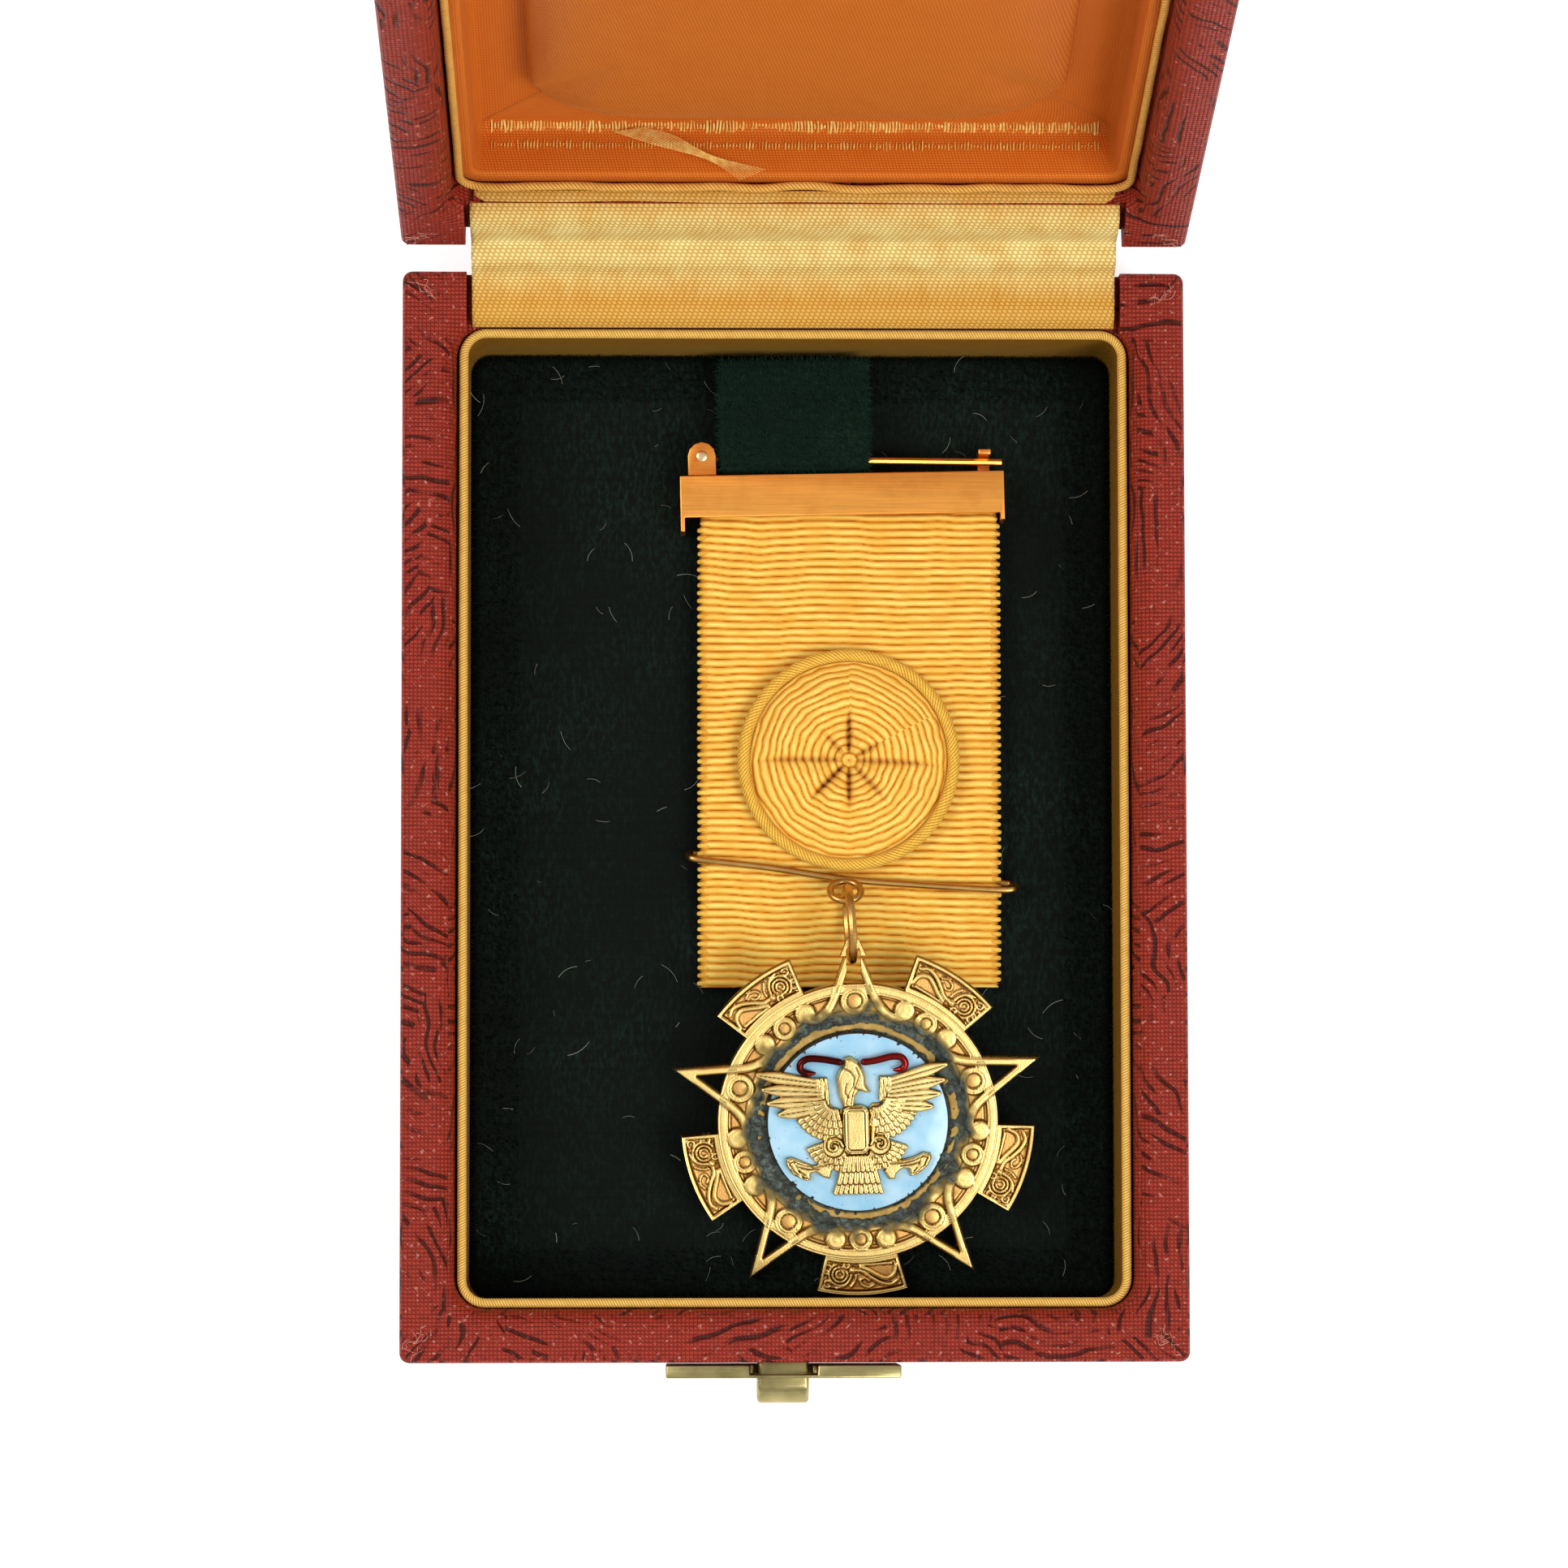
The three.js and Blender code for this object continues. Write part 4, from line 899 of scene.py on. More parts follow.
tray = {"flange": 2.2, "rim": 5.35, "back": 13.2, "floor": 12.2, "bend": 1.6}
trayRows = [insetRing(20, tray["back"]), insetRing(0, tray["back"]), insetRing(0, tray["rim"] + 0.4),
            insetRing(0.4, tray["rim"]),
            insetRing(tray["flange"] - 0.4, tray["rim"]), insetRing(tray["flange"], tray["rim"] + 0.4)]
trayRows += [insetRing(tray["flange"] + 0.1, z) for z in (7, 9)]
for x, z in arcProfile((0, 0), tray["bend"], 180, 90, 6):
    trayRows.append(insetRing(tray["flange"] + 0.1 + tray["bend"] + x, tray["floor"] - tray["bend"] + z))
trayRows += [insetRing(tray["flange"] + s, tray["floor"]) for s in (4, 8, 14, 34)]
rows, uv = ringRows(trayRows, 8, (70, 96))
trayPiece = moved(gridPiece("lidTraySatin", rows, satinOrange, uv, caps=(0, -1)), lidOpen)
attach(trayPiece, "lid", "satin", "lid_lining")


def satinStroke(tree, entry):
    ball = node(tree, "GeometryNodeMeshUVSphere", {"Segments": 5, "Rings": 4, "Radius": 1.0}).outputs[0]
    size = node(tree, "ShaderNodeCombineXYZ",
                {0: entry.outputs["Width"], 1: entry.outputs["Length"], 2: entry.outputs["Width"]}).outputs[0]
    return node(tree, "GeometryNodeTransform", {"Geometry": ball, "Scale": size}).outputs[0]


def strokesPiece(name, y, z, lean, sizes, seed):
    # pale gathered floats side by side along the tray's bend, a painted highlight where the satin's fold catches the
    # light
    tree, sockets, entry = emptyTree(name, sizes)
    points = node(tree, "GeometryNodeMeshToPoints", {"Mesh": entry.outputs["Geometry"]}).outputs[0]
    lean = radians(lean)
    turned = randomVector(tree, (lean - 0.05, -0.1, -0.12), (lean + 0.05, 0.1, 0.12), seed)
    size = randomVector(tree, (0.6, 0.2, 0.7), (1.3, 1.75, 1.1), seed + 1)
    spots = [(x, y + 0.1 * noise.noise(Vector((x * 0.4, seed, 0))),
              z + 0.25 * noise.noise(Vector((x * 0.15, seed, 3))))
             for x in np.arange(-37.2, 37.3, 0.4)]
    mesh = bpy.data.meshes.new(name)
    mesh.from_pydata([[a * mm for a in spot] for spot in spots], [], [])
    placing = {"Points": points, "Instance": satinStroke(tree, entry), "Rotation": turned, "Scale": size}
    return attach(moved(grown(name, mesh, tree, sockets, sizes, placing, strokeSilk), lidOpen), "lid", "satin")


strokesPiece("trayStrokes", 57.9, 11.75, 135, {"Width": 0.00014, "Length": 0.001}, 41)
strokesPiece("trayStrokesLow", 58.35, 9.3, 95, {"Width": 0.00009, "Length": 0.0005}, 57)
looseThreads = [[(-20.5 + 1.6 * a, 57.6, 11.0 + 0.3 * a), (-16 + a, 56.9 - 0.3 * a, 9.2 + 0.5 * a),
                 (-10.5 + 0.3 * a, 57.0, 6.9 + 0.25 * a), (-5.2 + 1.5 * a, 57.6, 4.9 + 0.7 * a)]
                for a in np.linspace(-1, 1, 11)]
attach(strandsPiece("looseThreads", looseThreads, 0.055, strokeSilk, lidOpen), "lid", "satin")

welt = {"inset": 0.55, "height": 4.5, "wobble": 0.5, "radius": 0.5}
weltPath = trimPath(welt["inset"], welt["height"], welt["wobble"], 8.2)
weltPiece = moved(tubePiece("lidWelt", weltPath, welt["radius"], weltFinish, 12, closed=True), lidOpen)
attach(weltPiece, "lid", "piping", "lid_welt")

pillow = {"half": (33.5, 52.5), "corner": 10, "rise": 4.7, "floor": 11.9,
          "grow": 10, "voxel": 0.012, "cap": 0.0007, "pressure": 4, "frames": 20}


def pillowShape():
    # a crowned panel with soft shoulders, its edge on the recess floor
    rows = []
    for inset, rise in ((1.5, -0.0), (0.4, 0.0), (0, 0.06), (0.1, 0.2), (0.7, 0.42), (1.8, 0.6), (3.5, 0.75),
                        (6, 0.87),
                        (9, 0.94), (13, 0.98), (18, 1.0), (24, 1.0), (30, 1.0), (32.8, 1.0)):
        corner = max(pillow["corner"] - inset * 0.3, 1.2) if inset < 30 else 0.4
        rows.append((pillow["half"][0] - inset, pillow["half"][1] - inset, corner,
                     pillow["floor"] - pillow["rise"] * rise))
    return ringRows(rows, 10, (50, 70))[0]


def puffed(thing):
    # a short cloth run at a larger size swells the pad, its underside held, and each point moves only a little
    grow = pillow["grow"]
    thing.data.transform(Matrix.Scale(grow, 4))
    remesh = thing.modifiers.new("voxels", "REMESH")
    remesh.mode, remesh.voxel_size = "VOXEL", pillow["voxel"]
    bake(thing)
    start = np.array([v.co for v in thing.data.vertices])
    held = thing.vertex_groups.new(name="held")
    under = np.flatnonzero(start[:, 2] > (pillow["floor"] - 0.5) * mm * grow)
    held.add([int(i) for i in under], 1.0, "REPLACE")
    cloth = thing.modifiers.new("swell", "CLOTH")
    cloth.settings.use_pressure, cloth.settings.uniform_pressure_force = True, pillow["pressure"]
    cloth.settings.vertex_group_mass = "held"
    cloth.settings.effector_weights.gravity = 0
    for frameNumber in range(1, pillow["frames"] + 1):
        scene.frame_set(frameNumber)
    bake(thing)
    scene.frame_set(1)
    swollen = np.array([v.co for v in thing.data.vertices])
    step = swollen - start
    size = np.maximum(np.linalg.norm(step, axis=1), 1e-9)[:, None]
    start = start + step * np.minimum(1, pillow["cap"] * grow / size)
    thing.data.vertices.foreach_set("co", start.ravel())
    finer = thing.modifiers.new("finer", "SUBSURF")
    finer.levels = finer.render_levels = 1
    bake(thing)
    thing.data.transform(Matrix.Scale(1 / grow, 4))
    corner = np.empty(len(thing.data.loops), int)
    thing.data.loops.foreach_get("vertex_index", corner)
    spots = np.array([v.co for v in thing.data.vertices])[:, :2] / mm
    thing.data.uv_layers.new(name="flat").data.foreach_set("uv", spots[corner].ravel())
    thing.data.materials.clear()
    thing.data.materials.append(shadedSatinPad)
    thing.data.shade_smooth()
    return thing


pillowBlank = gridPiece("lidPillow", pillowShape(), shadedSatinPad, caps=(0, -1))
pillowPiece = moved(puffed(pillowBlank), lidOpen)
attach(pillowPiece, "lid", "satin", "lid_pillow")
print("lid made")

# The catch.

softened("catch_plate", "catchPlate", 0.25, brass, "latch_brass")
softened("catch_button", "catchButton", 0.55, brass, "latch_brass", 4)
softened("catch_hook", "catchHook", 0.2, brass, "latch_brass")

# The brooch bar, its needle and the velvet tab that holds it.

softened("brooch_bar", "broochBar", 0.14, copperGilt, "bar_gilt", 3)
softened("pin_needle", "needle", 0.1, copperGilt, "bar_gilt", 2, 50)

rivetHead = {"at": (-17.6, 5.2, 11.5), "radius": 0.85, "rise": 0.42,
             "rings": ((0.9, -0.3), (1.0, 0.0), (0.97, 0.4), (0.8, 0.78), (0.5, 0.96), (0.2, 1.0), (0.02, 1.0))}
foldLine = {"half": 20.4, "y": 2.7 - 0.42, "z": 11.72,
            "ridge": ((-0.16, -0.03), (-0.1, 0.06), (0, 0.1), (0.1, 0.06), (0.16, -0.03))}
brooch = Matrix.Translation(Vector((6.35, 41.2, 0)) * mm) @ Matrix.Rotation(radians(1.1), 4, "Z")
turn = np.linspace(0, 2 * pi, 25)
rivetX, rivetY, rivetZ = rivetHead["at"]
rows = np.array([np.column_stack([rivetX + r * rivetHead["radius"] * np.cos(turn),
                                  rivetY + r * rivetHead["radius"] * np.sin(turn),
                                  np.full(len(turn), rivetZ + z * rivetHead["rise"])])
                 for r, z in rivetHead["rings"]])
attach(moved(gridPiece("rivetHead", rows, paleGilt, caps=(0, -1), sharp=60), brooch), "base", "bar_gilt")
rows = np.array([[(x, foldLine["y"] + y, foldLine["z"] + z)
                  for x in np.linspace(-foldLine["half"], foldLine["half"], 40)]
                 for y, z in foldLine["ridge"]])
attach(moved(gridPiece("foldLine", rows, copperGilt, closed=False, sharp=60), brooch), "base", "bar_gilt")
tab = {"left": -15.3, "right": 3.5, "thickness": 0.9}
tabLine = smoothPath([(17.3, 10.4), (13, 11), (8.5, 11.7), (5.1, 11.5), (3.75, 10.9), (3.4, 9.9), (3.75, 8.95),
                      (5.1, 8.4), (8.5, 8.35), (17.3, 8.35)], 70)
across = np.linspace(tab["left"] + 0.1, tab["right"] - 0.1, 50)
grid = np.array([[(x, y, z) for x in across] for y, z in tabLine])
uv = flatUv(lengthsAlong(tabLine), across)
tabPiece = gridPiece("velvetTab", grid, velvetGreen, uv, closed=False)
cleaned(thickened(tabPiece, tab["thickness"]))
moved(tabPiece, brooch)
attach(tabPiece, "base", "velvet", "velvet_tab")
tabPile = scattered("tabPile", tabPiece.data, pileGreen, {"Density": 1.1e7, "Radius": 0.00006, "Length": 0.0007}, 31,
                    pileHair)
attach(tabPile, "base", "velvet")
print("brooch made")

# The ribbon.

ribbon = {"x": 7.2, "half": 18.55, "thickness": 1.4, "pitch": 0.97, "rib": 0.42, "samples": 8, "columns": 110}
underside = smoothPath([(42.4, 9.3), (36, 9.25), (28, 9.2), (14, 9.2), (0, 9.2), (-6.5, 9.2), (-9.5, 8.8),
                        (-12.5, 8.3), (-17, 8), (-20.8, 7.85)], 64 * ribbon["samples"])


def ribbonRows():
    along = lengthsAlong(underside)
    across = np.linspace(-1, 1, ribbon["columns"])
    top = np.zeros((len(underside), len(across), 3))
    crowns = np.zeros(top.shape[:2])
    for i, (y, z) in enumerate(underside):
        for j, s in enumerate(across):
            x = s * ribbon["half"]
            # the ribs wander, more where the silk has been pulled
            wander = 0.55 * noise.noise(Vector((x * 0.09, along[i] * 0.045, 1)))
            wander += 0.13 * noise.noise(Vector((x * 0.4, along[i] * 0.12, 4)))
            phase = (along[i] + wander) / ribbon["pitch"] * pi
            crown = abs(cos(phase)) ** 0.75
            # the crowns carry the silk's painted highlight, weaker within 7 mm of the top end as painted shade under
            # the bar
            crowns[i, j] = crown * (0.6 + 0.4 * min(1, along[i] / 7))
            edge = max(0, (abs(s) - 0.965) / 0.035)
            loop = 0.6 * edge * (crown - 0.6)
            drop = ribbon["rib"] * (1 - crown) * (1 - 0.2 * edge) + 0.55 * edge ** 2
            top[i, j] = (ribbon["x"] + x + copysign(loop, s), y, z + ribbon["thickness"] - drop)
    return top, crowns


top, crowns = ribbonRows()
back = np.linspace(ribbon["columns"] - 1, 0, 9).astype(int)  # the flat underside needs few columns
low = top[:, back].copy()
low[..., 2] = (underside[:, 1] + 0.1)[:, None]
around = np.concatenate([top, low, top[:, :1]], axis=1)
uvAcross = np.concatenate([top[0, :, 0], low[0, :, 0] + 40, [top[0, 0, 0] + 80]])
uv = flatUv(lengthsAlong(underside), uvAcross)
# the flat underside takes half the crown mark: less painted highlight there
marks = {"crown": np.concatenate([crowns, crowns[:, back] * 0.5, crowns[:, :1]], axis=1),
         "crease": np.zeros(around.shape[:2])}
ribbonPiece = gridPiece("ribbonSilk", around, silk, uv, caps=(0, -1), sharp=70, marks=marks)
attach(ribbonPiece, "base", "ribbon", "ribbon")
# each rib turns back at the selvage in a small loop
loops = []
for column, side in ((0, -1), (-1, 1)):
    ridge = crowns[:, column]
    for i in np.flatnonzero((ridge[1:-1] > ridge[:-2]) & (ridge[1:-1] >= ridge[2:])) + 1:
        if i < 40:  # hidden by the bar
            continue
        y, z = underside[i]
        x, level = ribbon["x"] + side * ribbon["half"], z + ribbon["thickness"] - 0.42
        reachOut = 0.28 + 0.12 * noise.noise(Vector((side * 4.0, y * 1.7, 2)))
        loops.append([(x - side * 0.9, y, level + 0.1), (x - side * 0.3, y + 0.02, level + 0.16),
                      (x + side * reachOut, y, level - 0.08), (x + side * (reachOut + 0.05), y, level - 0.4),
                      (x - side * 0.3, y, level - 0.6), (x - side * 0.9, y, level - 0.6)])
selvage = strandsPiece("ribbonSelvage", loops, 0.3, loopSilk, sides=8, steps=12, taper=0.9, up=(0, 1, 0.05))
attach(selvage, "base", "ribbon")
print("ribbon made")

# The rosette.

rosette = {"x": 7.06, "y": 7.63, "face": 12.45, "cord": 13.2, "cordRadius": 0.78, "twists": 110, "cordPoints": 1301,
           "base": 11.0,
           "rise": 2.4, "ribs": 13.5, "rib": 0.3, "radial": 120, "around": 432,
           "creases": ((90, 0.55, 1.0), (133, 0.42, 0.7), (180, 0.98, 0.75), (226, 0.6, 1.0), (270, 0.52, 1.0),
                       (312, 0.6, 0.75), (357, 0.98, 0.75), (28, 0.42, 0.75))}


def rosetteRows():
    # each sector between two creases is pleated flat, so its ribs run nearly straight across it
    turns = np.linspace(0, 360, rosette["around"] + 1)
    angles = np.sort([c[0] % 360 for c in rosette["creases"]])
    rows, crowns, folds = [], [], []
    for s in np.linspace(0, 1, rosette["radial"])[::-1]:
        row, crownRow, foldRow = [], [], []
        for t in turns:
            above = angles[angles > t % 360]
            below = angles[angles <= t % 360]
            high = above[0] if len(above) else angles[0] + 360
            low = below[-1] if len(below) else angles[-1] - 360
            middle = radians(t % 360 - 0.5 * (low + high))
            bow = cos(middle)
            if s >= 0.85:
                bow += (1 - bow) * (s - 0.85) / 0.15
            chord = s * (0.62 + 0.38 * bow)
            cx, cy = cos(radians(t)), sin(radians(t))
            wobble = 0.035 * noise.noise(Vector((cx * 2.0 * s, cy * 2.0 * s, 1)))
            wobble += 0.02 * noise.noise(Vector((cx * 7 * s, cy * 7 * s, 4)))
            crown = abs(sin(pi * rosette["ribs"] * (chord + wobble))) ** 0.75
            fold, sink = 0.0, 0.0
            for angle, length, depth in rosette["creases"]:
                off = radians((t - angle + 180) % 360 - 180)
                beside = abs(sin(off)) * s if cos(off) > 0 else 9
                fade = max(0.0, 1 - (s / length) ** 2.5) if s < length else 0.0
                wide = 0.012 + 0.026 * fade * min(1, s / 0.25)
                fold = max(fold, exp(-(beside / wide) ** 2) * min(1, fade * 1.6) * depth
                           * min(1, max(0, s - 0.05) / 0.06))
                sink = max(sink, exp(-(beside / (wide * 3)) ** 2) * fade * depth)
            dome = (1 - s ** 5) * (0.72 + 0.28 * sin(pi * min(s * 1.3, 1) * 0.5)) + 0.05
            height = rosette["rise"] * (dome - 0.34 * sink - 0.3 * fold - 0.2 * exp(-(s * 11) ** 2))
            height += rosette["rib"] * crown * min(1, s * 8)
            radius = rosette["face"] * s
            row.append((rosette["x"] + radius * cx, rosette["y"] + radius * cy, rosette["base"] + max(height, 0.05)))
            crownRow.append(crown)
            # the crease mark darkens the silk as painted shade in the folds, more between the ribs
            foldRow.append(min(1, fold * (0.75 + 0.4 * (1 - crown))))
        row[-1] = row[0]
        rows.append(row)
        crowns.append(crownRow)
        folds.append(foldRow)
    low = [(x, y, rosette["base"]) for x, y, _ in rows[0]]
    return np.array([low] + rows), {"crown": np.array([crowns[0]] + crowns), "crease": np.array([folds[0]] + folds)}


rows, marks = rosetteRows()
turn = np.linspace(0, 2 * pi * 12, rows.shape[1])
uv = flatUv(np.linspace(20, 0, rows.shape[0]), turn)
rosettePiece = gridPiece("rosetteSilk", rows, silk, uv, caps=(0,), sharp=70, marks=marks)
attach(rosettePiece, "base", "rosette", "rosette_face")

circle = np.linspace(0, 2 * pi, rosette["cordPoints"])
path = np.column_stack([rosette["x"] + rosette["cord"] * np.cos(circle),
                        rosette["y"] + rosette["cord"] * np.sin(circle),
                        np.full(len(circle), rosette["base"] + rosette["cordRadius"])])
sides = 18
turn = np.linspace(0, 2 * pi, sides + 1)
twist = 1 - 0.1 * (1 - np.abs(np.sin(circle[:, None] * rosette["twists"] + turn[None, :]))) ** 1.5
cord = gridPiece("rosetteCord", tubeRows(path, rosette["cordRadius"] * twist, sides, closed=True), cordSilk,
                 tubeUv(path, sides, 4.9), sharp=80)
attach(cord, "base", "rosette_cord", "rosette_cord")
print("rosette made")

# The hanger wire, its eye, and the ring.

hangerLoop = [(-11.6, -4.9, 11.45), (-3, -5.9, 11.45), (6.5, -7.35, 11.45), (16, -8.1, 11.45), (26.4, -8.7, 11.45),
              (27.9, -8.3, 10.6), (27.9, -7.9, 9.1),
              (26.4, -7.6, 8.25), (16, -6.9, 8.25), (6.5, -5.9, 8.25), (-3, -4.7, 8.25), (-11.6, -3.9, 8.25),
              (-12.9, -4.1, 9.1), (-12.9, -4.5, 10.6)]
hanger = {"radius": 0.45, "sides": 14, "eye": (6.6, -8.95, 12.75), "half": (1.92, 1.75), "lean": radians(42)}
wireLoop = tubePiece("hangerWire", smoothPath(hangerLoop, 260, True), hanger["radius"], wireGilt, hanger["sides"],
                     True,
                     up=(0.02, 1, 0.05))
eyeTurn = np.linspace(0, 2 * pi, 61)
eyeX, eyeY, eyeZ = hanger["eye"]
wideHalf, tallHalf = hanger["half"]
eyePath = np.column_stack([eyeX + wideHalf * np.cos(eyeTurn), eyeY + tallHalf * np.sin(eyeTurn) * cos(hanger["lean"]),
                           eyeZ - tallHalf * np.sin(eyeTurn) * sin(hanger["lean"])])
eyeLoop = tubePiece("hangerEye", eyePath, hanger["radius"], wireGilt, hanger["sides"], True,
                    up=(0, sin(hanger["lean"]), cos(hanger["lean"])))
attach(wireLoop, "base", "wire_gilt", "hanger_wire")
attach(eyeLoop, "base", "wire_gilt")
softened("suspension_ring", "suspensionRing", 0.02, wireGilt, "wire_gilt", 1, 60)
print("wires made")

# The badge: cast relief, drawn as heights over a fine grid.

badge = {"tilt": 12, "turn": 1.86, "disc": 17.5, "enamel": 11.4, "star": 24.1, "topStar": 23.5, "bandHalf": 0.56,
         "bandTop": 1.9,
         "tabOuter": 22.1, "tabHalf": 15.05, "cell": 0.11, "face": 1.2, "rimIn": 16.15, "rimLines": (16.42, 17.22),
         "around": 721, "enamelAround": 361, "crustTo": 14.25, "fieldIn": 13.8, "fieldOut": 16.1,
         "gilding": (11.6, 12.45),
         "tabIn": 16.9, "tabGround": 1.05, "tabGrid": (49, 97)}
badgePlace = (Matrix.Translation(Vector((8.03, -37.55, 7.8 + 20.9 * sin(radians(badge["tilt"])))) * mm)
              @ Matrix.Rotation(radians(badge["tilt"]), 4, "X") @ Matrix.Rotation(radians(badge["turn"]), 4, "Z"))


def reach(x, y, line):
    # how far each grid point is from a line of points
    best = np.full(np.shape(x), 1e9)
    for (ax, ay), (bx, by) in zip(line[:-1], line[1:]):
        dx, dy = bx - ax, by - ay
        t = np.clip(((x - ax) * dx + (y - ay) * dy) / max(dx * dx + dy * dy, 1e-9), 0, 1)
        best = np.minimum(best, np.hypot(x - ax - t * dx, y - ay - t * dy))
    return best


def within(x, y, outline):
    # the distance to a closed outline, positive inside it
    ring = list(outline) + [outline[0]]
    inside = np.zeros(np.shape(x), bool)
    for (ax, ay), (bx, by) in zip(ring[:-1], ring[1:]):
        if ay != by:
            inside ^= ((ay > y) != (by > y)) & (x < (bx - ax) * (y - ay) / (by - ay) + ax)
    return np.where(inside, 1, -1) * reach(x, y, ring)


def shoulder(distance, width, height):
    share = np.clip(distance / width, 0, 1)
    return height * np.sqrt(1 - (1 - share) ** 2)


def softGroove(distance, width):
    return np.exp(-(distance / width) ** 2)


def blurred(field, cells, wrap=False):
    kernel = np.exp(-np.linspace(-2, 2, 2 * cells + 1) ** 2)
    kernel /= kernel.sum()
    mode = ("edge", "wrap" if wrap else "edge")
    for side in (0, 1):
        pad = [(0, 0), (0, 0)]
        pad[side] = (cells, cells)
        padded = np.pad(field, pad, mode=mode[side])
        field = sum(k * np.take(padded, range(i, i + field.shape[side]), axis=side) for i, k in enumerate(kernel))
    return field


def spun(x, y, degrees):
    c, s = cos(radians(degrees)), sin(radians(degrees))
    return x * c - y * s, x * s + y * c


def polar(radius, degrees):
    return radius * cos(radians(degrees)), radius * sin(radians(degrees))


def solidUnder(x, y, top, bottom, metal=None):
    # a closed solid under a height grid, cut along the line where metal is nought
    # gives points, faces and the kept grid points
    kept = np.ones((x.shape[0] - 1, x.shape[1] - 1), bool)
    if metal is not None:
        slopeY, slopeX = np.gradient(metal, y[:, 0], x[0])
        size = np.maximum(np.hypot(slopeX, slopeY), 1e-6)
        outside = np.minimum(metal, 0)
        x, y = x - outside * slopeX / size, y - outside * slopeY / size
        inside = metal > 0
        kept = inside[:-1, :-1] | inside[1:, :-1] | inside[:-1, 1:] | inside[1:, 1:]
    number = np.arange(x.size).reshape(x.shape)
    a, b, c, d = number[:-1, :-1], number[:-1, 1:], number[1:, 1:], number[1:, :-1]
    faces = [np.stack([q[kept] for q in (a, b, c, d)], axis=-1)]
    faces.append(np.stack([q[kept] + x.size for q in (d, c, b, a)], axis=-1))
    around = np.pad(kept, 1)
    for first, second, rowStep, columnStep in ((b, a, -1, 0), (c, b, 0, 1), (d, c, 1, 0), (a, d, 0, -1)):
        beside = around[1 + rowStep:1 + rowStep + kept.shape[0], 1 + columnStep:1 + columnStep + kept.shape[1]]
        rim = kept & ~beside
        faces.append(np.stack([first[rim], second[rim], second[rim] + x.size, first[rim] + x.size], axis=-1))
    faces = np.concatenate(faces)
    used, faces = np.unique(faces, return_inverse=True)
    points = np.concatenate([np.stack([x, y, top], axis=-1).reshape(-1, 3),
                             np.stack([x, y, np.full(x.shape, bottom)], axis=-1).reshape(-1, 3)])[used]
    return points, faces.reshape(-1, 4), used % x.size


def hollowsOf(height, cells, depth, wrap=False):
    return np.clip((blurred(height, cells, wrap) - height) / depth, 0, 1)


bandLine = [(-0.02, 22.45), (-0.75, 20.43), (-1.5, 18.4), (-2.28, 16.3), (-3.1, 14.55), (-4.3, 13.3), (-5.5, 13.0),
            polar(15.2, 114)]
bandLine = [tuple(p) for p in smoothPath(bandLine, 44)]


def bandRelief(x, y, height):
    # the two bands of a star point, with a fine line along each edge
    distance = np.minimum(reach(x, y, bandLine), reach(-x, y, bandLine))
    line = 0.14 * softGroove(distance - 0.37, 0.055) * (distance < badge["bandHalf"])
    return badge["bandHalf"] - distance, shoulder(badge["bandHalf"] - distance, 0.2, height) - line


badgeRings = [
    {"betweenPoints": False, "at": 15.3, "outer": 1.78, "edge": 0.16, "lift": 0.55, "inner": 1.0, "floor": 1.28,
     "dome": 0.2,
     "copper": 0.86, "line": 0.06, "groove": 1.42},
    {"betweenPoints": True, "at": 14.95, "outer": 1.48, "edge": 0.15, "lift": 0.5, "inner": 0.78, "floor": 1.26,
     "dome": 0.18,
     "copper": 0.66, "line": 0.055, "groove": 1.13},
]


def noiseField(x, y, scale, level):
    return np.array([[noise.noise(Vector((a * scale, b * scale, level))) for a, b in zip(*row)] for row in zip(x, y)])


def topped(height, inside, lifted):
    return np.where(inside, np.maximum(height, lifted), height)


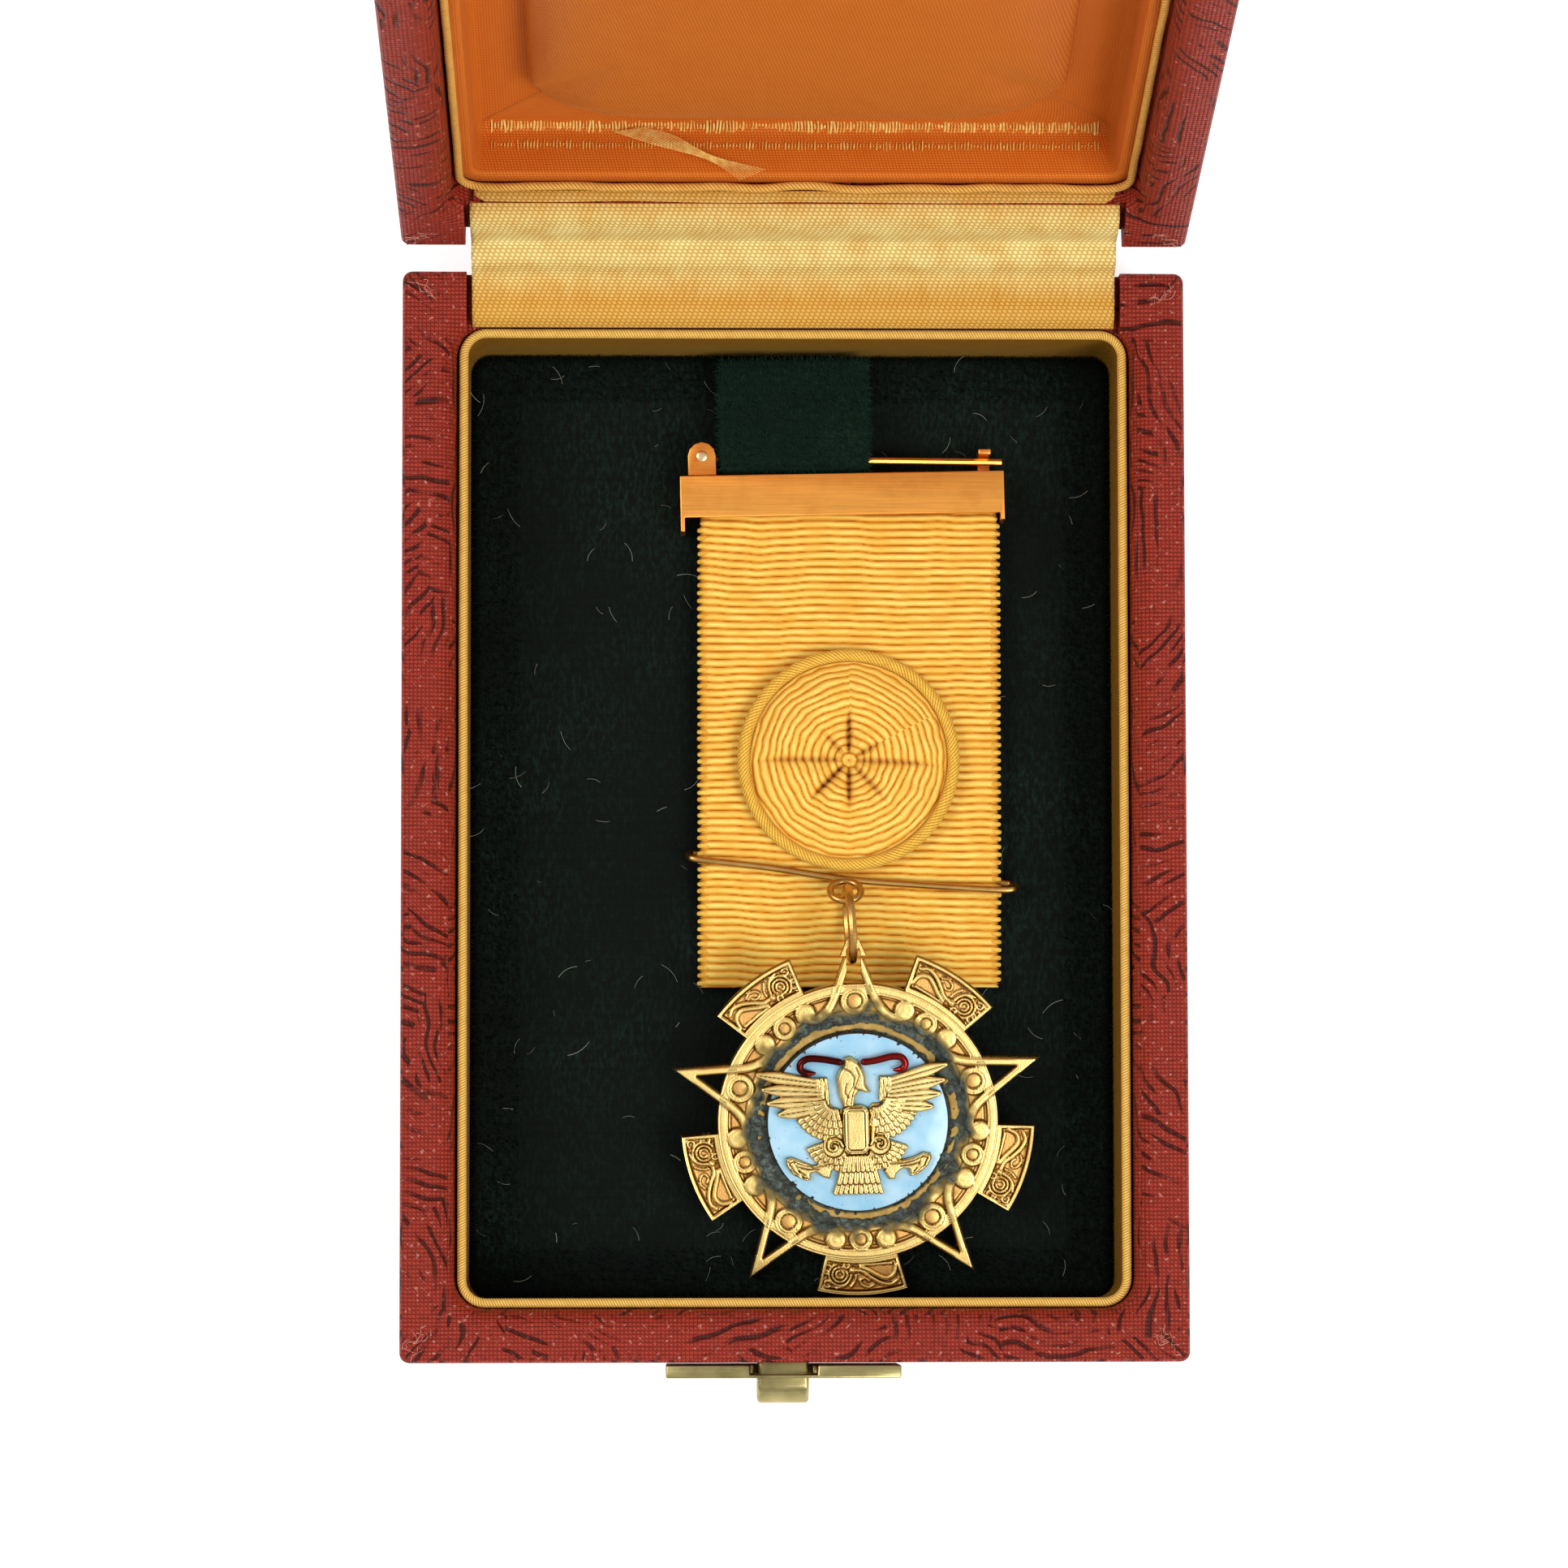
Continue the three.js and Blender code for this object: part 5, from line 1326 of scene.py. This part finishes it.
def discPiece():
    face, rimIn = badge["face"], badge["rimIn"]
    radius = np.concatenate([np.linspace(11.15, 13.6, 20)[:-1], np.linspace(13.6, badge["disc"] - 0.12, 40),
                             [badge["disc"]]])
    turn = np.linspace(0, 2 * pi, badge["around"])
    turn[-1] = 0
    r, t = np.meshgrid(radius, turn, indexing="ij")
    x, y = r * np.cos(t), r * np.sin(t)
    grain = noiseField(x, y, 0.9, 3)
    rough = noiseField(x, y, 3.1, 7)
    height = np.where(r > 13.75, face, np.clip(0.8 + (r - 13.2) * 0.72, 0.8, face))
    wide = noiseField(x, y, 0.28, 9)
    crust = np.clip(badge["crustTo"] + 0.8 * grain + 1.5 * wide - r, 0, 1)
    height = height + 0.16 * rough * crust
    gildIn, gildOut = badge["gilding"]
    remnant = np.minimum(r - gildIn - 0.1 * grain, gildOut + 0.35 * grain + 0.35 * wide - r)
    # what is left of the gilding, in three stretches round the enamel
    stretches = ((105, 66), (285, 42), (2, 22))
    shown = np.maximum.reduce([np.cos(t - radians(middle)) - cos(radians(half)) for middle, half in stretches])
    remnant = np.where(shown + 0.5 * grain > 0, remnant, -1)
    height = np.maximum(height, np.where(remnant > 0, 0.8 + shoulder(remnant, 0.15, 0.3) + 0.05 * rough, 0))
    rim = np.minimum(r - rimIn, badge["disc"] - r + 0.02)
    height = topped(height, rim > 0, face + shoulder(rim, 0.16, 0.5))
    height -= 0.1 * sum(softGroove(r - line, 0.05) for line in badge["rimLines"])
    middles = np.zeros(x.shape)
    for k in range(5):
        sx, sy = spun(x, y, -72 * k)
        tx, ty = spun(x, y, -72 * k - 36)
        near = np.abs(np.angle(np.exp(1j * (t - radians(90 + 72 * k))))) < 0.55
        distance, lift = bandRelief(sx, sy, badge["bandTop"] - face)
        height = topped(height, near & (distance > 0), face + lift)
        for ring in badgeRings:
            px, py = (tx, ty) if ring["betweenPoints"] else (sx, sy)
            away = np.hypot(px, py - ring["at"])
            height = topped(height, away < ring["outer"],
                            face + shoulder(ring["outer"] - away, ring["edge"], ring["lift"]))
            bowl = ring["floor"] + ring["dome"] * np.sqrt(np.maximum(0, 1 - (away / ring["inner"]) ** 2))
            height = np.where(away < ring["inner"], bowl, height)
            middles = np.maximum(middles, np.clip((ring["copper"] - away) / 0.1, 0, 0.9))
            height -= 0.12 * (softGroove(away - ring["inner"], ring["line"])
                              + softGroove(away - ring["groove"], 0.045))
        for side in (-24, 24):
            bx, by = polar(15.2, 90 + side)
            boss = np.hypot(sx - bx, sy - by)
            height = topped(height, boss < 1.32, face + shoulder(1.32 - boss, 0.3, 0.68))
            height -= 0.1 * softGroove(boss - 1.02, 0.05)
        # the raised edge inside each coppery field
        field = np.minimum(badge["fieldOut"] - r, r - badge["fieldIn"])
        height -= 0.07 * softGroove(field - 0.28, 0.05) * (height < 1.3)
    hollow = hollowsOf(height, 4, 0.16, True)
    fields = np.clip((1.36 - height) / 0.1, 0, 1) * (r > badge["fieldIn"])
    low = np.maximum.reduce([fields, middles, 0.7 * np.clip(remnant * 7, 0, 1)])
    ringAt = lambda size, z: np.stack([size * np.cos(turn), size * np.sin(turn), np.full(len(turn), z)], axis=-1)
    over = [ringAt(size, 0.7) for size in (0.05, 11.0)]
    under = [ringAt(badge["disc"], 0.06)] + [ringAt(size, 0) for size in (badge["disc"] - 0.06, 9, 0.05)]
    rows = np.concatenate([over, np.stack([x, y, height], axis=-1), under])
    pad = lambda f: np.pad(f, ((len(over), len(under)), (0, 0))).reshape(-1)
    patina = crust + 0.5 * np.clip((15.2 + 1.2 * grain + 1.6 * wide - r) / 1.2, 0, 1) * (1 - crust)
    patina = np.where(remnant > 0.04, 0.36 + 0.1 * grain, np.clip(patina, 0, 1))
    return rows, {"hollow": pad(hollow), "low": pad(low), "patina": pad(patina)}


tabStrokes = [
    ([(-4.4, 20.3), (-3.6, 20.8), (-2.4, 20.6), (-1.2, 19.9), (-0.1, 19.1), (1.0, 18.9)], 0.26, 0.36),
    ([(-4.3, 18.3), (-4.0, 19.5), (-3.0, 20.0), (-2.0, 19.6), (-1.0, 19.0), (0.1, 18.5)], 0.3, 0.42),
    ([(-3.7, 18.1), (-2.5, 18.15), (-1.3, 18.2), (0.2, 18.2)], 0.2, 0.28),
    ([(-1.5, 20.8), (-0.8, 21.1), (0.0, 20.8), (0.2, 20.2), (-0.4, 19.95), (-0.9, 20.3)], 0.17, 0.3),
    ([(1.3, 19.4), (1.6, 20.2), (2.3, 20.9), (3.2, 21.1)], 0.2, 0.32),
    ([(0.7, 19.5), (0.9, 20.3), (1.4, 21.0)], 0.17, 0.28),
]
tabCurls = [((2.75, 19.4), 0.5, -80, 220), ((2.75, 19.4), 0.95, -110, 190), ((2.75, 19.4), 1.4, -70, 110),
            ((4.35, 20.55), 0.42, -150, 140),
            ((4.3, 20.5), 0.82, -60, 100), ((4.25, 18.5), 0.4, -200, 60), ((4.25, 18.5), 0.78, -100, 80),
            ((1.9, 18.25), 0.35, -30, 200)]


def tabField():
    ground, (across, around) = badge["tabGround"], badge["tabGrid"]
    radius = np.linspace(badge["tabIn"], badge["tabOuter"], across)
    half = radians(badge["tabHalf"])
    turn = np.linspace(-half, half, around)
    r, t = np.meshgrid(radius, turn, indexing="ij")
    x, y = -r * np.sin(t), r * np.cos(t)
    edge = np.minimum(np.minimum(badge["tabOuter"] - r, (half - np.abs(t)) * r), r - 17.55)
    height = ground + 0.45 * np.clip(1 - (edge - 0.42) / 0.12, 0, 1)
    height = np.minimum(height, 1.2 + shoulder(np.minimum(badge["tabOuter"] - r, (half - np.abs(t)) * r), 0.1, 0.32))
    height += 0.14 * softGroove(edge - 0.74, 0.07) - 0.05 * softGroove(edge - 0.24, 0.05)
    for line, width, lift in tabStrokes:
        distance = reach(x, y, [tuple(p) for p in smoothPath(line, 30)])
        height = np.maximum(height, ground + lift * np.sqrt(np.clip(1 - (distance / width) ** 2, 0, 1)))
    for (cx, cy), size, start, end in tabCurls:
        line = [(cx + size * cos(radians(a)), cy + size * sin(radians(a))) for a in np.linspace(start, end, 14)]
        distance = reach(x, y, line)
        height = np.maximum(height, ground + 0.3 * np.sqrt(np.clip(1 - (distance / 0.17) ** 2, 0, 1)))
    pearl = np.hypot(x - 1.2, y - 18.9)
    height = np.maximum(height, ground + 0.55 * np.sqrt(np.clip(1 - (pearl / 0.46) ** 2, 0, 1)))
    return x, y, height, None, np.clip((1.3 - height) / 0.2, 0, 1)


def starField(top):
    step = badge["cell"]
    x, y = np.meshgrid(np.arange(-3.3, 3.31, step), np.arange(16.4, 24.31, step))
    tip = badge["topStar"] if top else badge["star"]
    distance, lift = bandRelief(x, y, badge["bandTop"])
    # the top point is broader, because the ring hangs in its slot
    half, waist = (1.66, 0.8) if top else (1.18, 0.43)
    point = within(x, y, [(0, tip), (-waist, 22.92), (-half, 20.86), (half, 20.86), (waist, 22.92)])
    height = np.maximum(np.where(distance > 0, np.maximum(lift, 0.05), 0.05), shoulder(point, 0.2, badge["bandTop"]))
    metal = np.maximum(distance, point)
    if top:
        slot = within(x, y, [(-0.95, 15), (0.95, 15), (0.95, 21.3), (-0.95, 21.3)])
        metal = np.minimum(metal, -np.maximum(slot, 0.95 - np.hypot(x, y - 21.3)))
        height = np.where(y > 20.7, np.minimum(height, 1.1), height)
    return x, y, height, metal, np.zeros(x.shape)


def raysParts():
    points, faces, marks, count = [], [], {"hollow": [], "low": [], "patina": []}, 0
    for kind in ("top", "star", "tab"):
        x, y, height, metal, low = tabField() if kind == "tab" else starField(kind == "top")
        p, f, kept = solidUnder(x, y, height, 0.02, metal)
        hollow = hollowsOf(height, 3, 0.14)
        for k in {"top": (0,), "star": (1, 2, 3, 4), "tab": (0, 1, 2, 3, 4)}[kind]:
            turned = p.copy()
            turned[:, 0], turned[:, 1] = spun(p[:, 0], p[:, 1], 72 * k + (36 if kind == "tab" else 0))
            points.append(turned)
            faces.append(f + count)
            count += len(p)
            marks["hollow"].append(hollow.reshape(-1)[kept])
            marks["low"].append(low.reshape(-1)[kept])
            marks["patina"].append(np.zeros(len(p)))
    return np.concatenate(points), np.concatenate(faces), {k: np.concatenate(v) for k, v in marks.items()}


rows, marks = discPiece()
discRelief = gridPiece("badgeDisc", rows, giltRelief, caps=(0, -1), sharp=180, marks=marks)
attach(moved(discRelief, badgePlace), "base", "badge_gilt", "badge_frame")
points, faces, marks = raysParts()
raysRelief = meshPiece("badgeRays", points, faces, giltRelief, sharp=60, marks=marks)
attach(moved(raysRelief, badgePlace), "base", "badge_gilt", "badge_frame")

# The enamel, with its chipped edge.

turn = np.linspace(0, 2 * pi, badge["enamelAround"])
turn[-1] = 0
chips = np.array([noise.noise(Vector((cos(t) * 14, sin(t) * 14, 2)))
                  + 0.9 * noise.noise(Vector((cos(t) * 41, sin(t) * 41, 5))) for t in turn])
rows = []
for share, z in ((1.0, 0.95), (1.0, 1.45), (0.992, 1.66), (0.975, 1.74), (0.95, 1.78), (0.85, 1.9), (0.7, 2.0),
                 (0.5, 2.08),
                 (0.3, 2.13), (0.15, 2.15), (0.01, 2.15)):
    bite = np.where(share > 0.94, 0.2 * np.clip(chips - 0.45, 0, 1), 0)
    size = badge["enamel"] * share - bite
    rows.append(np.stack([size * np.cos(turn), size * np.sin(turn), np.full(len(turn), z)], axis=-1))
rows = np.array(rows)
edgeMark = np.zeros(rows.shape[:2])
edgeMark[:3] = 1
edgeMark[3] = np.clip(chips * 3 - 1, 0, 1)
glass = gridPiece("enamelGlass", rows, enamel, caps=(0, -1), sharp=180, marks={"edge": edgeMark.reshape(-1)})
attach(moved(glass, badgePlace), "base", "enamel", "enamel_disc")

# The eagle: feathers, tail, feet, head and the bare shield on its breast.

eagle = {"base": 2.15, "bottom": 1.55, "cell": 0.09, "quill": 0.56, "swell": 0.34}
quills = [((-4.5, 5.2), (-12.3, 6.5)), ((-4.56, 4.15), (-11.65, 4.62)), ((-4.7, 3.1), (-11.05, 2.88)),
          ((-4.9, 2.1), (-9.75, 1.42)),
          ((3.95, 5.2), (11.05, 7.1)), ((4.0, 4.2), (10.7, 5.2)), ((4.1, 3.2), (10.15, 3.5)),
          ((4.25, 2.25), (9.2, 1.9))]
scallopRows = [
    {"centre": (-2.9, 3.1), "turn": (186, 282),
     "rows": ((1.3, 2.4, 7), (2.1, 3.35, 9), (3.0, 4.25, 11), (3.9, 5.05, 12))},
    {"centre": (2.3, 3.2), "turn": (258, 354),
     "rows": ((1.3, 2.4, 7), (2.1, 3.35, 9), (3.0, 4.3, 11), (4.0, 5.15, 12))},
    {"centre": (-2.5, -1.7), "turn": (202, 286),
     "rows": ((1.3, 2.4, 6), (2.1, 3.2, 8), (2.9, 3.95, 9))},
    {"centre": (2.1, -1.7), "turn": (254, 338),
     "rows": ((1.3, 2.4, 6), (2.1, 3.2, 8), (2.9, 3.95, 9))},
]
tailRows = [(-7.0, -8.75, -3.05, 2.65, 10, 0.32), (-5.5, -7.4, -2.55, 2.3, 8, 0.35),
            (-4.2, -5.85, -1.95, 1.6, 7, 0.31)]
eagleOutlines = {
    "body": [(-3.69, 5.91), (-3.37, 2.57), (-2.58, 1.75), (-1.71, 2.06), (-0.35, 1.93), (1.39, 2.06), (1.88, 2.57),
             (2.9, 2.57), (2.68, 5.91), (4.06, 5.86),
             (4.49, 2.31), (3.37, -0.77), (2.50, -4.11), (1.64, -4.88), (-1.96, -4.88), (-2.83, -3.86),
             (-3.82, -1.80), (-4.81, 0.26), (-5.30, 2.31), (-5.25, 5.91)],
    "leftFoot": [(-9.12, -4.16), (-8.28, -4.01), (-7.04, -4.58), (-5.80, -5.14), (-4.06, -4.76), (-3.37, -5.91),
                 (-3.69, -6.94), (-4.68, -6.68),
                 (-5.43, -6.04), (-6.05, -6.17), (-6.00, -6.94), (-6.67, -7.10), (-8.28, -6.30), (-9.10, -5.14)],
    "rightFoot": [(9.00, -4.11), (8.08, -3.86), (6.84, -4.42), (5.60, -4.68), (3.87, -4.76), (3.00, -6.17),
                  (3.62, -7.25), (4.49, -7.20), (4.61, -6.56),
                  (5.35, -5.91), (6.10, -6.04), (6.34, -6.94), (7.34, -6.68), (8.57, -5.66), (9.07, -4.76)],
    "head": [(-2.63, 5.78), (-2.28, 6.68), (-1.71, 7.46), (-1.54, 8.35), (-0.72, 8.53), (0.20, 7.92), (0.84, 6.89),
             (1.14, 5.91), (1.14, 5.01), (1.69, 3.91),
             (0.94, 3.86), (0.27, 4.06), (-0.22, 3.34), (-0.35, 2.06), (-1.83, 2.06), (-2.28, 3.34), (-2.50, 4.63)],
}
engraved = [
    [(-1.71, 7.20), (-0.84, 6.68), (-0.35, 5.91), (-0.47, 4.88), (-1.09, 3.86), (-1.46, 2.57)],
            [(-0.10, 7.20), (0.27, 6.17), (-0.10, 5.14), (-0.59, 3.86), (-0.84, 2.57)],
    [(-1.34, 5.14), (-1.59, 4.11), (-1.09, 3.34)], [(1.59, 3.91), (0.64, 4.06), (-0.35, 4.63)],
    [(-4.06, -5.09), (-5.68, -5.35), (-7.04, -4.94), (-8.28, -4.50), (-8.65, -4.88), (-8.15, -5.78), (-7.04, -6.56),
     (-6.42, -6.74)],
    [(-5.06, -5.60), (-6.54, -5.53), (-7.53, -5.27), (-7.53, -5.78), (-6.79, -6.30)],
    [(3.87, -5.14), (5.60, -5.14), (6.84, -4.83), (8.08, -4.32), (8.57, -4.58), (8.08, -5.53), (7.09, -6.38),
     (6.59, -6.56)],
    [(5.1, -5.5), (6.6, -5.35), (7.5, -5.1), (7.4, -5.7), (6.8, -6.2)],
    [(-8.85, -4.45), (-8.5, -5.6), (-7.75, -6.4)], [(-8.1, -4.5), (-7.7, -5.5), (-7.0, -6.6)],
            [(8.65, -4.2), (8.1, -5.6), (7.45, -6.4)], [(7.9, -4.2), (7.3, -5.5), (6.75, -6.4)],
]


def eagleField():
    step = eagle["cell"]
    x, y = np.meshgrid(np.arange(-12.6, 11.8, step), np.arange(-9.5, 8.9, step))
    height, metal = np.zeros(x.shape), np.full(x.shape, -9.0)

    def laid(distance, rise):
        nonlocal height, metal
        height = topped(height, distance > 0, rise)
        metal = np.maximum(metal, distance)

    def raiseBy(distance, width, lift, floor=0.0):
        laid(distance, floor + shoulder(distance, width, lift))

    def fromSpine(root, tip):
        length = hypot(tip[0] - root[0], tip[1] - root[1])
        ux, uy = (tip[0] - root[0]) / length, (tip[1] - root[1]) / length
        along = np.clip(((x - root[0]) * ux + (y - root[1]) * uy) / length, 0, 1)
        return along, np.hypot(x - root[0] - along * length * ux, y - root[1] - along * length * uy)

    def feather(root, tip, half, floor, lift):
        along, beside = fromSpine(root, tip)
        distance = half - beside
        laid(distance, floor + shoulder(distance, half * 0.7, lift) - 0.07 * softGroove(beside, 0.06) - 0.12 * along)

    raiseBy(within(x, y, eagleOutlines["body"]), 0.4, 0.5)
    for number, (root, tip) in enumerate(quills):
        # broad and side by side, parted only towards the tips
        along, beside = fromSpine(root, tip)
        half = (eagle["quill"] + eagle["swell"] * along) * (1 - 0.66 * np.clip((along - 0.66) / 0.34, 0, 1) ** 1.4)
        distance = half - beside
        rise = 0.42 + 0.05 * (number % 4) + shoulder(distance, 0.3, 0.36)
        laid(distance, rise - 0.1 * softGroove(beside, 0.06) - 0.1 * along)
    for group in scallopRows:
        cx, cy = group["centre"]
        for level, (near, far, count) in reversed(list(enumerate(group["rows"]))):
            for angle in np.linspace(*group["turn"], count):
                (ax, ay), (bx, by) = polar(near, angle), polar(far, angle)
                feather((cx + ax, cy + ay), (cx + bx, cy + by), 0.27 + 0.045 * level, 0.3 + 0.2 * (3 - level), 0.3)
    for root, tip in (((-4.9, 5.7), (-4.75, 2.6)), ((-4.4, 5.75), (-4.25, 2.3)), ((-3.9, 5.75), (-3.75, 2.7)),
                      ((4.0, 5.7), (3.9, 2.8)), ((3.5, 5.7), (3.3, 2.8)), ((3.05, 5.7), (2.85, 3.0))):
        feather(root, tip, 0.24, 0.62, 0.22)
    for name in ("leftFoot", "rightFoot"):
        raiseBy(within(x, y, eagleOutlines[name]), 0.35, 0.75)
    for level, (rootY, tipY, left, right, feathers, half) in enumerate(tailRows):
        for tipX in np.linspace(left, right, feathers):
            feather((tipX * 0.8 - 0.04, rootY), (tipX, tipY), half, 0.25 + 0.24 * level, 0.32)
    raiseBy(within(x, y, eagleOutlines["head"]), 0.55, 1.0, 0.1)
    for line in engraved:
        height -= 0.16 * softGroove(reach(x, y, line), 0.08)
    # shield: three fine borders round a bare middle
    cornered = np.hypot(np.maximum(np.abs(x + 0.28) - 0.6, 0), np.maximum(np.abs(y + 0.7) - 2.0, 0))
    shield = 1.12 - cornered
    raiseBy(shield, 0.25, 1.2, 0.1)
    height = np.where(shield > 0, height - 0.14 * (softGroove(shield - 0.3, 0.06) + softGroove(shield - 0.62, 0.06)),
                      height)
    for cx, cy, way in ((-3.1, -2.75, 1), (2.65, -2.6, -1)):
        height = np.where(np.hypot(x - cx, y - cy) < 1.4, np.minimum(height, 0.5), height)
        coil = [(cx + way * (1.12 - 0.08 * i) * cos(i * 0.62), cy + (1.12 - 0.08 * i) * sin(i * 0.62))
                for i in range(13)]
        raiseBy(0.22 - reach(x, y, coil), 0.2, 0.5, 0.6)
    raiseBy(0.24 - reach(x, y, [(1.6, 1.7), (1.9, 0.6), (1.85, -0.8), (1.75, -1.9), (2.1, -2.2)]), 0.2, 0.3, 0.7)
    # the small curved leaves that close the gaps by the neck
    for line in ([(-3.3, 5.6), (-3.1, 4.2), (-3.0, 2.9)], [(2.4, 5.4), (2.3, 4.4), (2.3, 3.5)]):
        gap = reach(x, y, line) - 0.3
        metal = np.minimum(metal, np.where(gap < 0.3, gap, 9))
    return x, y, np.maximum(height, 0.04) + eagle["base"], metal


x, y, height, metal = eagleField()
points, faces, kept = solidUnder(x, y, height, eagle["bottom"], metal)
marks = {"hollow": hollowsOf(height, 2, 0.06).reshape(-1)[kept], "low": np.zeros(len(kept)),
         "patina": np.zeros(len(kept))}
eagleRelief = meshPiece("eagleRelief", points, faces, giltEagle, sharp=70, marks=marks)
attach(moved(eagleRelief, badgePlace), "base", "eagle_gilt", "eagle")

serpents = {
    "Left": ([(-1.7, 7.75), (-2.6, 7.95), (-4.1, 8.25), (-5.9, 8.4), (-6.9, 7.9), (-7.0, 7.1), (-6.3, 6.6),
              (-5.1, 6.55)], darkRed),
    "Right": ([(0.5, 7.75), (1.4, 7.8), (2.5, 7.95), (4.4, 8.35), (5.6, 8.2), (6.05, 7.4), (5.6, 6.75), (4.5, 6.65)],
              brightRed),
}
for side, (line, finish) in serpents.items():
    path = smoothPath([(a, b, 2.62) for a, b in line], 70)
    share = np.linspace(0, 1, len(path))
    radius = 0.45 * np.clip(np.minimum(share * 12 + 0.5, (1 - share) * 6 + 0.3), 0, 1)
    body = tubePiece("serpent" + side, path, radius, finish, 12)
    attach(moved(body, badgePlace), "base", "serpent_enamel", "serpent_" + side.lower())
print("badge made")

# Floor and light.

floorMesh = bpy.data.meshes.new("floor")
reachOfFloor = 9
floorMesh.from_pydata([(sx * reachOfFloor, sy * reachOfFloor, 0) for sx, sy in ((-1, -1), (1, -1), (1, 1), (-1, 1))],
                      [], [(0, 1, 2, 3)])
floorMesh.materials.append(finishOf("paper", (0.9, 0.9, 0.9), 0.9, Emission_Color=(1, 1, 1, 1),
                                    Emission_Strength=0.45))
floor = bpy.data.objects.new("floor", floorMesh)
scene.collection.objects.link(floor)

world = bpy.data.worlds.new("studio")
world.use_nodes = True
world.node_tree.nodes["Background"].inputs["Color"].default_value = (1, 1, 1, 1)
world.node_tree.nodes["Background"].inputs["Strength"].default_value = 0.6
scene.world = world


def softbox(name, at, aim, size, watts):
    data = bpy.data.lights.new(name, "AREA")
    data.shape, data.size, data.size_y, data.energy = "RECTANGLE", size[0], size[1], watts
    lamp = bpy.data.objects.new(name, data)
    lamp.location = at
    lamp.rotation_euler = (Vector(aim) - Vector(at)).to_track_quat("-Z", "Y").to_euler()
    scene.collection.objects.link(lamp)


softbox("keyBox", (0.6, -0.45, 0.95), (0, 0, 0.02), (0.6, 0.6), 8.2)
softbox("fillBox", (-0.7, 0.2, 0.8), (0, 0, 0), (0.5, 0.5), 4)
scene.view_settings.view_transform = "Standard"
